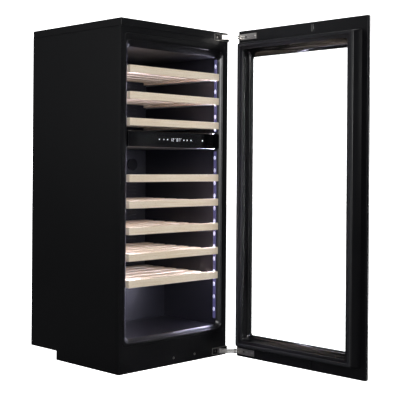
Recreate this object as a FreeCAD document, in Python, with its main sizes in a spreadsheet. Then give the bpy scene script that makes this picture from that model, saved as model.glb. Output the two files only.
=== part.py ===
"""Built-in two-zone wine cooler: cabinet, machine bay, eight sliding shelves and a glass door.

Row frame: origin at the middle of the cabinet's footprint on its flat base, +X to the right seen
from the front, -Y to the front, +Z up.  The door is modelled open at a right angle.
"""
import FreeCAD, Part
import Sketcher
import math
import os
import re
from types import SimpleNamespace
from FreeCAD import Placement, Rotation, Vector

# Driving dimensions, millimetres.
SIZES = {
    # cabinet
    "width": 540, "depth": 500, "height": 1215,
    "sheet": 1, "cap_height": 27, "cap_wall": 2, "frame_depth": 15,
    "base_flat": 345, "base_rise": 33, "tray_sheet": 1.5,
    # cavity
    "side_wall": 40, "rear_wall": 55, "liner_skin": 1.5,
    "floor_level": 115, "ceiling_drop": 94, "funnel": 11, "mouth_radius": 20,
    "foam_low": 60, "divider_low": 776, "divider_tall": 57,
    "duct_depth": 38, "duct_sheet": 2.5, "panel_gap": 2,
    # machine bay
    "bay_front": 330, "bay_top": 250, "hump_wall": 35,
    # shelves
    "upper_start": 43, "lower_start": 32, "shelf_pitch": 91,
    "shelf_gap": 5, "fascia_tall": 26, "fascia_thick": 18, "fascia_back": 2,
    "deck_depth": 372, "batten_wide": 20, "batten_tall": 14, "batten_drop": 22,
    "slat_wide": 42, "slat_thick": 6, "slat_drop": 6,
    "runner_thick": 5, "runner_tall": 10, "rail_gap": 0.6, "rail_tall": 16, "rail_start": 42,
    # lights and controls
    "strip_thick": 4, "strip_wide": 12, "strip_back": 17, "strip_floor": 24, "strip_end": 8,
    "fascia_edge": 5, "panel_thick": 11,
    # cold side: fans, coils and filter
    "fan_radius": 46, "fan_hub": 18, "fan_thick": 12, "fan_gap": 3, "blade_thick": 2, "blade_pitch": 6,
    "fan_drop": 78, "coil_wide": 300, "coil_tall": 150, "coil_thick": 14, "filter_radius": 24,
    "filter_thick": 9, "filter_side": 150, "filter_drop": 60,
    # machine bay parts
    "compressor_radius": 58, "compressor_tall": 150, "dome_radius": 28, "compressor_side": 140,
    "condenser_wide": 200, "condenser_tall": 150, "condenser_thick": 30, "condenser_side": 125,
    "fin_thick": 1.2, "tube_radius": 4, "bay_clear": 12, "big_fan_radius": 62,
    "bowl_wide": 150, "bowl_deep": 110, "bowl_tall": 26, "bowl_wall": 2,
    "vent_wide": 380, "vent_tall": 7, "vent_pitch": 18, "vent_low": 55,
    "gland_radius": 10, "gland_bore": 4, "gland_length": 14, "gland_side": 225, "gland_level": 60,
    "board_wide": 180, "board_deep": 110, "board_thick": 2, "board_tall": 14,
    # fixing holes through the lower front band
    "fixing_radius": 2.25, "fixing_spacing": 108, "fixing_middle": 46, "fixing_level": 24,
    # door
    "overhang": 13, "door_low": 1, "door_tall": 1217,
    "carrier": 12, "pane": 5, "inner_pane": 4, "pane_seat": 4,
    "frame_tall": 40, "gasket_tall": 5.7, "seal_gap": 0.3, "gasket_wide": 12, "gasket_inset": 1,
    "frame_side": 22, "frame_low": 38, "frame_high": 43, "frame_draft": 8, "ridge": 24,
    "glass_side": 64, "glass_low": 86, "glass_high": 101, "glass_radius": 8,
    "pivot_inset": 1.5, "pivot_behind": 5.5,
    # hinges
    "hinge_inset": 20.5, "plate_wide": 76, "plate_tall": 25, "plate_thick": 2.5, "plate_rim": 6,
    "link_thick": 6, "ear_gap": 0.2, "ear_thick": 2, "ear_radius": 7, "pin_radius": 3,
    "pin_clear": 0.05, "link_tip": 4.8, "link_length": 55, "joint_side": 44.5, "joint_out": 12,
    "bracket_long": 84, "bracket_tall": 22, "cheek_out": 15, "cheek_long": 14,
    "swing_in": 4, "swing_off": 9, "slot_radius": 2.5, "slot_place": 32,
    "screw_head": 4, "screw_rise": 1.8,
}
UPPER_SHELVES = 3
LOWER_SHELVES = 5
SLATS = 6
BLADES = 7
VENT_SLOTS = 9
FINS = 14
TUBES = 3

# Lines that several pieces share, as expressions of the sizes above.
FRONT, BACK = "-depth/2", "depth/2"
HALF = "width/2"
CAP = "(height - cap_height)"
INNER = "(width/2 - side_wall)"
CEILING = "(height - ceiling_drop)"
REAR = "(depth/2 - rear_wall)"
DUCT = "(depth/2 - rear_wall - duct_depth)"
HUMP_FRONT = "(-depth/2 + bay_front - hump_wall)"
HUMP_TOP = "(bay_top + hump_wall)"
DIVIDER_TOP = "(divider_low + divider_tall)"
CLOSED_GAP = "(frame_tall + gasket_tall + seal_gap)"
SLAB = "(width/2 + overhang - pivot_inset - pivot_behind)"
HINGE_EDGE = f"(-depth/2 - {CLOSED_GAP} - pivot_behind + pivot_inset)"
DOOR_WIDTH = "(width + 2*overhang)"
DOOR_TOP = "(door_low + door_tall)"
HINGES = {"lower": "hinge_inset", "upper": "(height - hinge_inset)"}

doc = FreeCAD.newDocument("wine_cooler")
sheet = doc.addObject("Spreadsheet::Sheet", "Dims")
for row, (alias, size) in enumerate(SIZES.items(), start=1):
    sheet.set(f"A{row}", alias)
    sheet.set(f"B{row}", str(size))
    sheet.setAlias(f"B{row}", alias)
doc.recompute()
now = SimpleNamespace(**{alias: float(sheet.get(alias)) for alias in SIZES})

nodes = []
made = iter(range(100000))


# ---------------------------------------------------------------- helpers

def linked(text):
    """The expression with every size's name pointing at its cell."""
    def cell(word):
        return "Dims." + word.group() if word.group() in SIZES else word.group()
    return re.sub(r"[a-z][a-z_]+", cell, str(text))


def bind(obj, **sizes):
    for prop, text in sizes.items():
        obj.setExpression(prop.replace("__", "."), linked(text))
    return obj


def place(obj, x="0", y="0", z="0", turn=None):
    """Puts a primitive at expressions of the sizes, turned by a fixed rotation first."""
    if turn:
        obj.Placement = Placement(Vector(), turn)
    return bind(obj, Placement__Base__x=x, Placement__Base__y=y, Placement__Base__z=z)


def new(kind):
    return doc.addObject(kind, f"Item{next(made)}")


def box(x, y, z):
    """A block between three (low, high) pairs of expressions."""
    obj = new("Part::Box")
    bind(obj, Length=f"{x[1]} - ({x[0]})", Width=f"{y[1]} - ({y[0]})", Height=f"{z[1]} - ({z[0]})")
    return place(obj, x[0], y[0], z[0])


def cylinder(radius, length, at, turn=None):
    obj = bind(new("Part::Cylinder"), Radius=radius, Height=length)
    return place(obj, *at, turn=turn)


ALONG_X = Rotation(Vector(0, 1, 0), 90)
ALONG_Y = Rotation(Vector(1, 0, 0), -90)
INTO_DOOR = Rotation(Vector(0, 0, 1), 90)


def taper(near, far, length, at, turn=None):
    """A block whose section goes from near to far, each (x low, x high, z low, z high), along its own Y."""
    obj = new("Part::Wedge")
    bind(obj, Xmin=near[0], Xmax=near[1], Zmin=near[2], Zmax=near[3], Ymin="0", Ymax=length)
    bind(obj, X2min=far[0], X2max=far[1], Z2min=far[2], Z2max=far[3])
    return place(obj, *at, turn=turn)


def cut(base, *tools):
    for tool in tools:
        obj = new("Part::Cut")
        obj.Base, obj.Tool = base, tool
        base = obj
    return base


def fuse(*shapes):
    obj = new("Part::MultiFuse")
    obj.Shapes = list(shapes)
    return obj


def rounded(base, radius, axis):
    """Rounds the edges of a block that run mostly along one axis (0, 1 or 2)."""
    doc.recompute()
    edges = []
    for number, edge in enumerate(base.Shape.Edges, start=1):
        step = edge.Vertexes[-1].Point - edge.Vertexes[0].Point
        if edge.Length and abs(step[axis]) > 0.6 * edge.Length:
            edges.append((number, radius, radius))
    obj = new("Part::Fillet")
    obj.Base, obj.Edges = base, edges
    return obj


def outline(body, plane, corners, holes=()):
    """A sketch of straight-sided outlines, each corner tied to a pair of expressions."""
    drawn = body.newObject("Sketcher::SketchObject", f"Sketch{next(made)}")
    drawn.AttachmentSupport = [(find(body, plane), "")]
    drawn.MapMode = "FlatFace"
    for ring in (corners, *holes):
        first = drawn.GeometryCount
        spots = [Vector(*(worth(text) for text in corner), 0) for corner in ring]
        for here, there in zip(spots, spots[1:] + spots[:1]):
            drawn.addGeometry(Part.LineSegment(here, there), False)
        for step, corner in enumerate(ring):
            line = first + step
            drawn.addConstraint(Sketcher.Constraint("Coincident", first + (step - 1) % len(ring), 2, line, 1))
            for way, text, spot in zip(("DistanceX", "DistanceY"), corner, spots[step]):
                made_here = drawn.addConstraint(Sketcher.Constraint(way, -1, 1, line, 1, spot))
                drawn.setExpression(f"Constraints[{made_here}]", linked(text))
    return drawn


def find(body, role):
    return next(item for item in body.Origin.OriginFeatures if item.Role == role)


probe = doc.addObject("App::FeaturePython", "Probe")
probe.addProperty("App::PropertyFloat", "Amount")


def worth(text):
    """The present value of an expression of the sizes."""
    probe.setExpression("Amount", linked(text))
    doc.recompute([probe])
    return probe.Amount


def pad(sketch_body, drawn, length, midplane=False):
    feature = sketch_body.newObject("PartDesign::Pad", f"Pad{next(made)}")
    feature.Profile = drawn
    feature.Midplane = midplane
    return bind(feature, Length=length)


def new_body():
    return doc.addObject("PartDesign::Body", f"Body{next(made)}")


def node(name, *shapes):
    """Names a finished piece; several separate solids become one compound."""
    if len(shapes) > 1:
        obj = new("Part::Compound")
        obj.Links = list(shapes)
    else:
        obj = shapes[0]
    obj.Label = name
    nodes.append(obj)
    return obj


# ---------------------------------------------------------------- cabinet

def side_panel(name, x):
    """Folded steel side, notched behind where the base steps up for air."""
    body = new_body()
    low, rear = f"{FRONT} + base_flat", BACK
    ring = [(f"{FRONT} + frame_depth", "0"), (low, "0"), (low, "base_rise"),
            (rear, "base_rise"), (rear, CAP), (f"{FRONT} + frame_depth", CAP)]
    pad(body, outline(body, "YZ_Plane", ring), "sheet")
    bind(body, Placement__Base__x=x)
    node(name, body)


def base_tray():
    """Bent steel base: flat where it stands, stepped up under the machine bay."""
    body = new_body()
    start, step, rear = f"{FRONT} + frame_depth", f"{FRONT} + base_flat", f"{BACK} - sheet"
    ring = [(start, "0"), (step, "0"), (step, "base_rise"), (rear, "base_rise"),
            (rear, "base_rise + tray_sheet"), (f"{step} - tray_sheet", "base_rise + tray_sheet"),
            (f"{step} - tray_sheet", "tray_sheet"), (start, "tray_sheet")]
    pad(body, outline(body, "YZ_Plane", ring), "width - 2*sheet", midplane=True)
    node("base_tray", body)


def top_cap():
    outer = box((f"-{HALF}", HALF), (FRONT, BACK), (CAP, "height"))
    inner = box((f"-{HALF} + cap_wall", f"{HALF} - cap_wall"), (f"{FRONT} + cap_wall", f"{BACK} - cap_wall"),
                (CAP, "height - cap_wall"))
    node("top_cap", cut(outer, inner))


def front_frame():
    """Moulded frame round the mouth, with a splayed rounded opening and two fixing holes."""
    outer = box((f"-{HALF}", HALF), (FRONT, f"{FRONT} + frame_depth"), ("0", CAP))
    near = (f"-{INNER} - funnel", f"{INNER} + funnel", "floor_level - funnel", f"{CEILING} + 2*funnel")
    far = (f"-{INNER}", INNER, "floor_level", CEILING)
    mouth = rounded(taper(near, far, "frame_depth", ("0", FRONT, "0")), now.mouth_radius, 1)
    holes = [cylinder("fixing_radius", "frame_depth",
                      (f"fixing_middle + {side}*fixing_spacing/2", FRONT, "fixing_level"), ALONG_Y)
             for side in (-1, 1)]
    node("front_frame", cut(outer, mouth, *holes))


def rear_panels():
    inside = (f"-{HALF} + sheet", f"{HALF} - sheet")
    skin = (f"{BACK} - sheet", BACK)
    node("rear_panel", box(inside, skin, ("bay_top", CAP)))

    body = new_body()
    ring = [(inside[0], "base_rise + tray_sheet"), (inside[1], "base_rise + tray_sheet"),
            (inside[1], "bay_top"), (inside[0], "bay_top")]
    pad(body, outline(body, "XZ_Plane", ring), "sheet")
    slot = [("-vent_wide/2", "vent_low"), ("vent_wide/2", "vent_low"),
            ("vent_wide/2", "vent_low + vent_tall"), ("-vent_wide/2", "vent_low + vent_tall")]
    louvre = body.newObject("PartDesign::Pocket", "VentSlot")
    louvre.Profile = outline(body, "XZ_Plane", slot)
    louvre.Type = 1
    louvre.Midplane = True
    rows = body.newObject("PartDesign::LinearPattern", "VentRows")
    rows.Originals = [louvre]
    rows.Direction = (louvre.Profile[0], ["V_Axis"])
    rows.Occurrences = VENT_SLOTS
    bind(rows, Length=f"vent_pitch*{VENT_SLOTS - 1}")
    body.Tip = rows
    bind(body, Placement__Base__y=BACK)
    hole = cylinder("gland_radius - 2", "4*sheet", ("-gland_side", f"{BACK} - 2*sheet", "gland_level"), ALONG_Y)
    node("bay_cover", cut(body, hole))


def foam():
    """Foamed insulation round the liner, as blocks that meet face to face."""
    side_in, side_out = f"({INNER} + liner_skin)", f"({HALF} - sheet)"
    front, bay, rear = f"{FRONT} + frame_depth", f"{FRONT} + bay_front", f"{BACK} - sheet"
    behind = f"{REAR} + liner_skin"
    under = "floor_level - liner_skin"
    across = (f"-{side_in}", side_in)
    blocks = []
    for side in (-1, 1):
        span = (f"{side}*{side_in if side > 0 else side_out}", f"{side}*{side_out if side > 0 else side_in}")
        blocks.append(box(span, (front, bay), ("foam_low", "bay_top")))
        blocks.append(box(span, (front, rear), ("bay_top", CAP)))
    blocks.append(box(across, (front, bay), ("foam_low", under)))
    blocks.append(box(across, (f"{HUMP_FRONT} + liner_skin", bay), (under, "bay_top")))
    blocks.append(box(across, (f"{HUMP_FRONT} + liner_skin", behind), ("bay_top", f"{HUMP_TOP} - liner_skin")))
    blocks.append(box(across, (behind, rear), ("bay_top", CAP)))
    blocks.append(box(across, (front, behind), (f"{CEILING} + liner_skin", CAP)))
    node("insulation", *blocks)


def liner():
    """Thin inner shell, stepped over the machine bay."""
    def stepped(skin, front):
        across = (f"-{INNER} - {skin}", f"{INNER} + {skin}")
        low = box(across, (front, f"{HUMP_FRONT} + {skin}"), (f"floor_level - {skin}", f"{CEILING} + {skin}"))
        high = box(across, (front, f"{REAR} + {skin}"), (f"{HUMP_TOP} - {skin}", f"{CEILING} + {skin}"))
        return fuse(low, high)
    mouth = f"{FRONT} + frame_depth"
    node("liner", cut(stepped("liner_skin", mouth), stepped("0", f"{mouth} - sheet")))


def zone_divider():
    node("zone_divider", box((f"-{INNER}", INNER), (f"{FRONT} + frame_depth", f"{DUCT} - panel_gap"),
                             ("divider_low", DIVIDER_TOP)))
    back = f"{FRONT} + frame_depth"
    slab = box((f"-{INNER} + panel_gap/2", f"{INNER} - panel_gap/2"), (f"{back} - panel_thick", back),
               ("divider_low", DIVIDER_TOP))
    node("control_fascia", rounded_front(slab))


def rounded_front(slab):
    """Eases the two long front edges of a bar that lies along X."""
    doc.recompute()
    front = slab.Shape.BoundBox.YMin
    edges = [(number, now.fascia_edge, now.fascia_edge)
             for number, edge in enumerate(slab.Shape.Edges, start=1)
             if abs(edge.BoundBox.YMax - front) < 1e-6 and edge.BoundBox.XLength > edge.BoundBox.ZLength]
    obj = new("Part::Fillet")
    obj.Base, obj.Edges = slab, edges
    return obj


def light_strips():
    strips = []
    spans = [(f"{DIVIDER_TOP} + strip_end", f"{CEILING} - strip_end"),
             ("floor_level + strip_floor", "divider_low - strip_end")]
    for low, high in spans:
        for x in ((f"-{INNER}", f"-{INNER} + strip_thick"), (f"{INNER} - strip_thick", INNER)):
            strips.append(box(x, (f"{FRONT} + strip_back", f"{FRONT} + strip_back + strip_wide"), (low, high)))
    node("light_strips", *strips)


# ---------------------------------------------------------------- cold side and machine bay

def fan(name, radius, at):
    """Axial impeller turning about Y: a hub and inclined blades."""
    body = new_body()
    rim = [(0, 0), ("fan_hub", 0), ("fan_hub", "fan_thick"), (0, "fan_thick")]
    hub = body.newObject("PartDesign::Revolution", f"Hub{next(made)}")
    hub.Profile = outline(body, "XY_Plane", rim)
    hub.ReferenceAxis = (find(body, "Y_Axis"), [""])
    hub.Angle = 360
    section = [("-blade_pitch", "fan_thick/6"), ("blade_thick - blade_pitch", "fan_thick/6"),
               ("blade_pitch", "fan_thick*5/6"), ("blade_pitch - blade_thick", "fan_thick*5/6")]
    blade = pad(body, outline(body, "XY_Plane", section), radius)
    ring = body.newObject("PartDesign::PolarPattern", f"Blades{next(made)}")
    ring.Originals = [blade]
    ring.Axis = (find(body, "Y_Axis"), [""])
    ring.Angle = 360
    ring.Occurrences = BLADES
    body.Tip = ring
    place(body, *at)
    node(name, body)


FAN_FRONT = f"{DUCT} + duct_sheet + fan_gap"
FAN_LEVEL = {"upper": f"{CEILING} - fan_drop", "lower": "divider_low - fan_drop"}


def cold_side():
    """Duct covers, fans and coils behind them, and the charcoal filter."""
    spans = {"upper": (DIVIDER_TOP, CEILING), "lower": (HUMP_TOP, "divider_low")}
    coils = []
    for zone, (low, high) in spans.items():
        plate = box((f"-{INNER} + panel_gap", f"{INNER} - panel_gap"), (DUCT, f"{DUCT} + duct_sheet"),
                    (f"{low} + panel_gap", f"{high} - panel_gap"))
        mouth = cylinder("fan_radius", "duct_sheet", ("0", DUCT, FAN_LEVEL[zone]), ALONG_Y)
        node(f"duct_cover_{zone}", cut(plate, mouth))
        fan(f"fan_{zone}", "fan_radius - fan_gap", ("0", FAN_FRONT, FAN_LEVEL[zone]))
        middle = f"({FAN_LEVEL[zone]})"
        coils.append(box(("-coil_wide/2", "coil_wide/2"), (f"{REAR} - coil_thick", REAR),
                         (f"{middle} - coil_tall/2", f"{middle} + coil_tall/2 - panel_gap")))
    node("evaporators", *coils)
    node("charcoal_filter", cylinder("filter_radius", "filter_thick",
                                     ("filter_side", f"{DUCT} - filter_thick", "divider_low - filter_drop"),
                                     ALONG_Y))


def machine_bay():
    floor = "base_rise + tray_sheet"
    middle = f"({FRONT} + bay_front + {BACK})/2"
    at = ("-compressor_side", middle, floor)
    node("compressor", domed(cylinder("compressor_radius", "compressor_tall", at)))

    x = ("-compressor_side - bowl_wide/2", "-compressor_side + bowl_wide/2")
    y = (f"{middle} - bowl_deep/2", f"{middle} + bowl_deep/2")
    low = f"{floor} + compressor_tall"
    inner = box((f"{x[0]} + bowl_wall", f"{x[1]} - bowl_wall"), (f"{y[0]} + bowl_wall", f"{y[1]} - bowl_wall"),
                (f"{low} + bowl_wall", f"{low} + bowl_tall"))
    node("drip_tray", cut(box(x, y, (low, f"{low} + bowl_tall")), inner))

    left = "(condenser_side - condenser_wide/2)"
    y = (f"{FRONT} + bay_front + bay_clear", f"{FRONT} + bay_front + bay_clear + condenser_thick")
    z = (floor, f"{floor} + condenser_tall")
    fins = []
    for fin in range(FINS):
        start = f"{left} + (condenser_wide - fin_thick)*{fin}/{FINS - 1}"
        fins.append(box((start, f"{start} + fin_thick"), y, z))
    tubes = [cylinder("tube_radius", "condenser_wide",
                      (left, f"{y[0]} + condenser_thick/2", f"{floor} + condenser_tall*{2*tube + 1}/{2*TUBES}"),
                      ALONG_X) for tube in range(TUBES)]
    node("condenser", fuse(*fins, *tubes))
    fan("condenser_fan", "big_fan_radius",
        ("condenser_side", f"{y[1]} + bay_clear", f"{floor} + condenser_tall/2"))

    bush = cylinder("gland_radius", "gland_length", ("-gland_side", f"{BACK} - sheet - gland_length", "gland_level"),
                    ALONG_Y)
    neck = cylinder("gland_radius - 2", "sheet", ("-gland_side", f"{BACK} - sheet", "gland_level"), ALONG_Y)
    bore = cylinder("gland_bore", "gland_length + sheet",
                    ("-gland_side", f"{BACK} - sheet - gland_length", "gland_level"), ALONG_Y)
    node("cord_gland", cut(fuse(bush, neck), bore))

    y = f"({BACK} - 2*board_deep)"
    base = box(("-board_wide/2", "board_wide/2"), (y, f"{y} + board_deep"), (CAP, f"{CAP} + board_thick"))
    parts = box(("-board_wide/3", "board_wide/4"), (f"{y} + board_deep/5", f"{y} + board_deep*4/5"),
                (f"{CAP} + board_thick", f"{CAP} + board_tall"))
    node("control_board", fuse(base, parts))


def domed(pot):
    """Rounds the top and bottom rims of an upright cylinder."""
    doc.recompute()
    rims = [(number, now.dome_radius, now.dome_radius)
            for number, edge in enumerate(pot.Shape.Edges, start=1) if edge.BoundBox.ZLength < 1e-6]
    obj = new("Part::Fillet")
    obj.Base, obj.Edges = pot, rims
    return obj


# ---------------------------------------------------------------- shelves

def shelf_tops():
    """Levels of the fascias' tops from the highest shelf down, counted up from each zone's floor."""
    upper = [f"({DIVIDER_TOP} + upper_start + {row}*shelf_pitch)" for row in reversed(range(UPPER_SHELVES))]
    lower = [f"({HUMP_TOP} + lower_start + {row}*shelf_pitch)" for row in reversed(range(LOWER_SHELVES))]
    return upper + lower


def shelf(number, top):
    """A beech fascia, a slatted deck behind it and the steel runners on its sides."""
    half = f"({INNER} - shelf_gap)"
    rail_out = f"({INNER} - shelf_gap - rail_gap/2)"
    deck_half = f"({rail_out} - runner_thick)"
    front = f"{FRONT} + fascia_back"
    behind = f"({front} + fascia_thick)"
    node(f"shelf_{number}_fascia", box((f"-{half}", half), (front, behind), (f"{top} - fascia_tall", top)))

    battens = [(f"-{deck_half}", f"-{deck_half} + batten_wide"), (f"{deck_half} - batten_wide", deck_half)]
    wood = [box(x, (behind, f"{behind} + deck_depth"), (f"{top} - batten_drop", f"{top} - batten_drop + batten_tall"))
            for x in battens]
    for slat in range(SLATS):
        start = f"({behind} + (deck_depth - slat_wide)*{slat}/{SLATS - 1})"
        wood.append(box((f"-{deck_half}", deck_half), (start, f"{start} + slat_wide"),
                        (f"{top} - slat_drop - slat_thick", f"{top} - slat_drop")))
    node(f"shelf_{number}_deck", fuse(*wood))

    low = f"{top} - batten_drop"
    runners = [box(x, (behind, f"{behind} + deck_depth"), (low, f"{low} + runner_tall"))
               for x in ((f"-{rail_out}", f"-{deck_half}"), (deck_half, rail_out))]
    node(f"shelf_{number}_runners", *runners)


def shelves():
    rails = []
    for number, top in enumerate(shelf_tops(), start=1):
        shelf(number, top)
        low = f"{top} - batten_drop - (rail_tall - runner_tall)/2"
        inside = f"({INNER} - shelf_gap + rail_gap/2)"
        for x in ((f"-{INNER}", f"-{inside}"), (inside, INNER)):
            rails.append(box(x, (f"{FRONT} + rail_start", f"{DUCT} - panel_gap"), (low, f"{low} + rail_tall")))
    node("shelf_rails", *rails)


# ---------------------------------------------------------------- door, open at a right angle

def across(inset):
    """The door's (low, high) pair along Y, a distance in from both upright edges."""
    return f"{HINGE_EDGE} - {DOOR_WIDTH} + {inset}", f"{HINGE_EDGE} - ({inset})"


def upright(low, high):
    return f"door_low + {low}", f"{DOOR_TOP} - ({high})"


def door():
    full = (across("0"), upright("0", "0"))
    window = rounded(box((SLAB, f"{SLAB} + carrier"), across("glass_side"), upright("glass_low", "glass_high")),
                     now.glass_radius, 0)
    node("door_carrier", cut(box((SLAB, f"{SLAB} + carrier"), *full), window))
    node("door_glass", rounded(box((f"{SLAB} + carrier", f"{SLAB} + carrier + pane"), *full), now.glass_radius / 4, 0))
    seat = (across("glass_side - pane_seat"), upright("glass_low - pane_seat", "glass_high - pane_seat"))
    pane = (f"{SLAB} - inner_pane", SLAB)
    node("inner_glass", box(pane, *seat))

    ridge_in = "frame_side + frame_draft + ridge"
    outer = taper((*across("frame_side"), *upright("frame_low", "frame_high")),
                  (*across("frame_side + frame_draft"),
                   *upright("frame_low + frame_draft", "frame_high + frame_draft")),
                  "frame_tall", (SLAB, "0", "0"), INTO_DOOR)
    hollow = taper((*across("glass_side"), *upright("glass_low", "glass_high")),
                   (*across(ridge_in), *upright("frame_low + frame_draft + ridge", "frame_high + frame_draft + ridge")),
                   "frame_tall", (SLAB, "0", "0"), INTO_DOOR)
    rebate = box(pane, *seat)
    node("door_inner_frame", cut(rounded(outer, now.glass_radius, 0), rounded(hollow, now.glass_radius, 0), rebate))

    face = f"{SLAB} - frame_tall"
    inset = "frame_side + frame_draft + gasket_inset"
    side, low, high = inset, "frame_low + frame_draft + gasket_inset", "frame_high + frame_draft + gasket_inset"
    ring = box((f"{face} - gasket_tall", face), across(side), upright(low, high))
    hole = box((f"{face} - gasket_tall", face), across(f"{side} + gasket_wide"),
               upright(f"{low} + gasket_wide", f"{high} + gasket_wide"))
    node("door_gasket", cut(rounded(ring, now.glass_radius, 0), hole))


# ---------------------------------------------------------------- hinges

EAR_IN = "(link_thick/2 + ear_gap)"
EAR_OUT = "(link_thick/2 + ear_gap + ear_thick)"
PIVOT_X = f"({HALF} - joint_side)"
PIVOT_Y = f"({FRONT} - joint_out)"


def layers(level):
    """The two thin layers above and below a link, as (low, high) pairs."""
    return (f"{level} + {EAR_IN}", f"{level} + {EAR_OUT}"), (f"{level} - {EAR_OUT}", f"{level} - {EAR_IN}")


def hinge_plate(level):
    """Channel plate on the cabinet's front with two ears and a riveted pin."""
    x = (f"{HALF} - plate_wide", HALF)
    parts = [box(x, (f"{FRONT} - plate_thick", FRONT), (f"{level} - plate_tall/2", f"{level} + plate_tall/2"))]
    for z in ((f"{level} - plate_tall/2", f"{level} - plate_tall/2 + ear_thick"),
              (f"{level} + plate_tall/2 - ear_thick", f"{level} + plate_tall/2")):
        parts.append(box(x, (f"{FRONT} - plate_rim - plate_thick", FRONT), z))
    for z in layers(level):
        parts.append(box((f"{PIVOT_X} - ear_radius", f"{PIVOT_X} + ear_radius"), (PIVOT_Y, FRONT), z))
        parts.append(cylinder("ear_radius", "ear_thick", (PIVOT_X, PIVOT_Y, z[0])))
    parts.append(cylinder("pin_radius", f"2*{EAR_OUT}", (PIVOT_X, PIVOT_Y, f"{level} - {EAR_OUT}")))
    return fuse(*parts)


def link_angle():
    """Direction of the links with the door open at a right angle, degrees."""
    pivot_y = -now.depth / 2 - now.joint_out
    pivot_x = now.width / 2 - now.joint_side
    door_x = now.width / 2 + now.overhang - now.pivot_inset - now.pivot_behind - now.swing_off
    gap = now.frame_tall + now.gasket_tall + now.seal_gap
    door_y = -now.depth / 2 - gap - now.pivot_behind + now.pivot_inset - now.swing_in
    return math.degrees(math.atan2(door_y - pivot_y, door_x - pivot_x))


def hinge_link(level):
    """Flat link on the cabinet's pin; its far end lies free between the door bracket's cheeks."""
    turn = Rotation(Vector(0, 0, 1), link_angle())
    z = f"{level} - link_thick/2"
    bar = bind(new("Part::Box"), Length="link_length", Width="2*link_tip", Height="link_thick")
    bar.Placement = Placement(turn.multVec(Vector(0, -now.link_tip, 0)), turn)
    tip = bind(new("Part::Cylinder"), Radius="link_tip", Height="link_thick")
    tip.Placement = Placement(turn.multVec(Vector(now.link_length, 0, 0)), turn)
    eye = bind(new("Part::Cylinder"), Radius="ear_radius", Height="link_thick")
    bore = bind(new("Part::Cylinder"), Radius="pin_radius + pin_clear", Height="link_thick")
    return place(cut(fuse(bar, tip, eye), bore), PIVOT_X, PIVOT_Y, z)


def hinge_bracket(level):
    """Bracket on the door's margin: a plate with a slot and two cheeks round the link's end."""
    start = f"({HINGE_EDGE} - 1)"
    plate = box((f"{SLAB} - plate_thick", SLAB), (f"{start} - bracket_long", start),
                (f"{level} - bracket_tall/2", f"{level} + bracket_tall/2"))
    cheeks = [box((f"{SLAB} - cheek_out", SLAB), (f"{start} - cheek_long", start), z) for z in layers(level)]
    slots = [cylinder("slot_radius", "plate_thick",
                      (f"{SLAB} - plate_thick", f"{start} - slot_place - {step}*slot_radius", level), ALONG_X)
             for step in (0, 1, 2)]
    return cut(fuse(plate, *cheeks), fuse(*slots))


def screws(spots, turn):
    """Pan-head screws standing on a hinge plate."""
    return [cylinder("screw_head", "screw_rise", spot, turn) for spot in spots]


def hinges():
    node("hinge_plates", *[hinge_plate(level) for level in HINGES.values()])
    node("hinge_brackets", *[hinge_bracket(level) for level in HINGES.values()])
    fixed = [(f"{HALF} - plate_wide*{share}", f"{FRONT} - plate_thick - screw_rise", level)
             for level in HINGES.values() for share in (0.84, 0.16)]
    node("plate_screws", *screws(fixed, ALONG_Y))
    moving = [(f"{SLAB} - plate_thick - screw_rise", f"{HINGE_EDGE} - 1 - bracket_long*{share}", level)
              for level in HINGES.values() for share in (0.6, 0.9)]
    node("bracket_screws", *screws(moving, ALONG_X))
    for name, level in HINGES.items():
        node(f"hinge_link_{name}", hinge_link(level))


# ---------------------------------------------------------------- build, check, export

def main():
    side_panel("side_panel_left", f"-{HALF}")
    side_panel("side_panel_right", f"{HALF} - sheet")
    base_tray()
    top_cap()
    front_frame()
    rear_panels()
    foam()
    liner()
    zone_divider()
    light_strips()
    cold_side()
    machine_bay()
    shelves()
    door()
    hinges()
    doc.recompute()

    failed = [obj.Label for obj in doc.Objects if {"Invalid", "Error"} & set(obj.State)]
    for part in nodes:
        if part.Shape.isNull() or not part.Shape.isValid() or not part.Shape.Solids:
            failed.append(part.Label)
    if failed:
        raise RuntimeError(f"not built: {failed}")

    os.makedirs("parts", exist_ok=True)
    for part in nodes:
        part.Shape.exportStep(f"parts/{part.Label}.step")
        bound = part.Shape.BoundBox
        print(f"{part.Label:24s} solids {len(part.Shape.Solids):2d}  x {bound.XMin:8.1f} {bound.XMax:8.1f}"
              f"  y {bound.YMin:8.1f} {bound.YMax:8.1f}  z {bound.ZMin:8.1f} {bound.ZMax:8.1f}")
    print(len(nodes), "nodes; links at", round(link_angle(), 3), "degrees")


main()
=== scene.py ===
"""Finished pieces of a tall built-in wine cooler, standing with its glass door open."""

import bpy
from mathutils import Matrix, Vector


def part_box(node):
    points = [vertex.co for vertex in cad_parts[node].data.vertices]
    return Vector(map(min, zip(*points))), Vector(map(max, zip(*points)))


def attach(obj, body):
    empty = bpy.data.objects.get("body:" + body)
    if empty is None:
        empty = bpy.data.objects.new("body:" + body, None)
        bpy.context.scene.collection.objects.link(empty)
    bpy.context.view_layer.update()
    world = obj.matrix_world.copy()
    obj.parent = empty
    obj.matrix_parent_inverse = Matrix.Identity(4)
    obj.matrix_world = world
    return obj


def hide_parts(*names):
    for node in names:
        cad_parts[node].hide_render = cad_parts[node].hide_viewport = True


bl_info = {
    "name": "Wine Cooler",
    "version": (1, 0, 0),
    "blender": (4, 5, 0),
    "location": "View3D > Sidebar > Cooler",
    "description": "Builds the finished pieces of a two-zone wine cooler round its CAD frame",
    "category": "Object",
}

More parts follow.
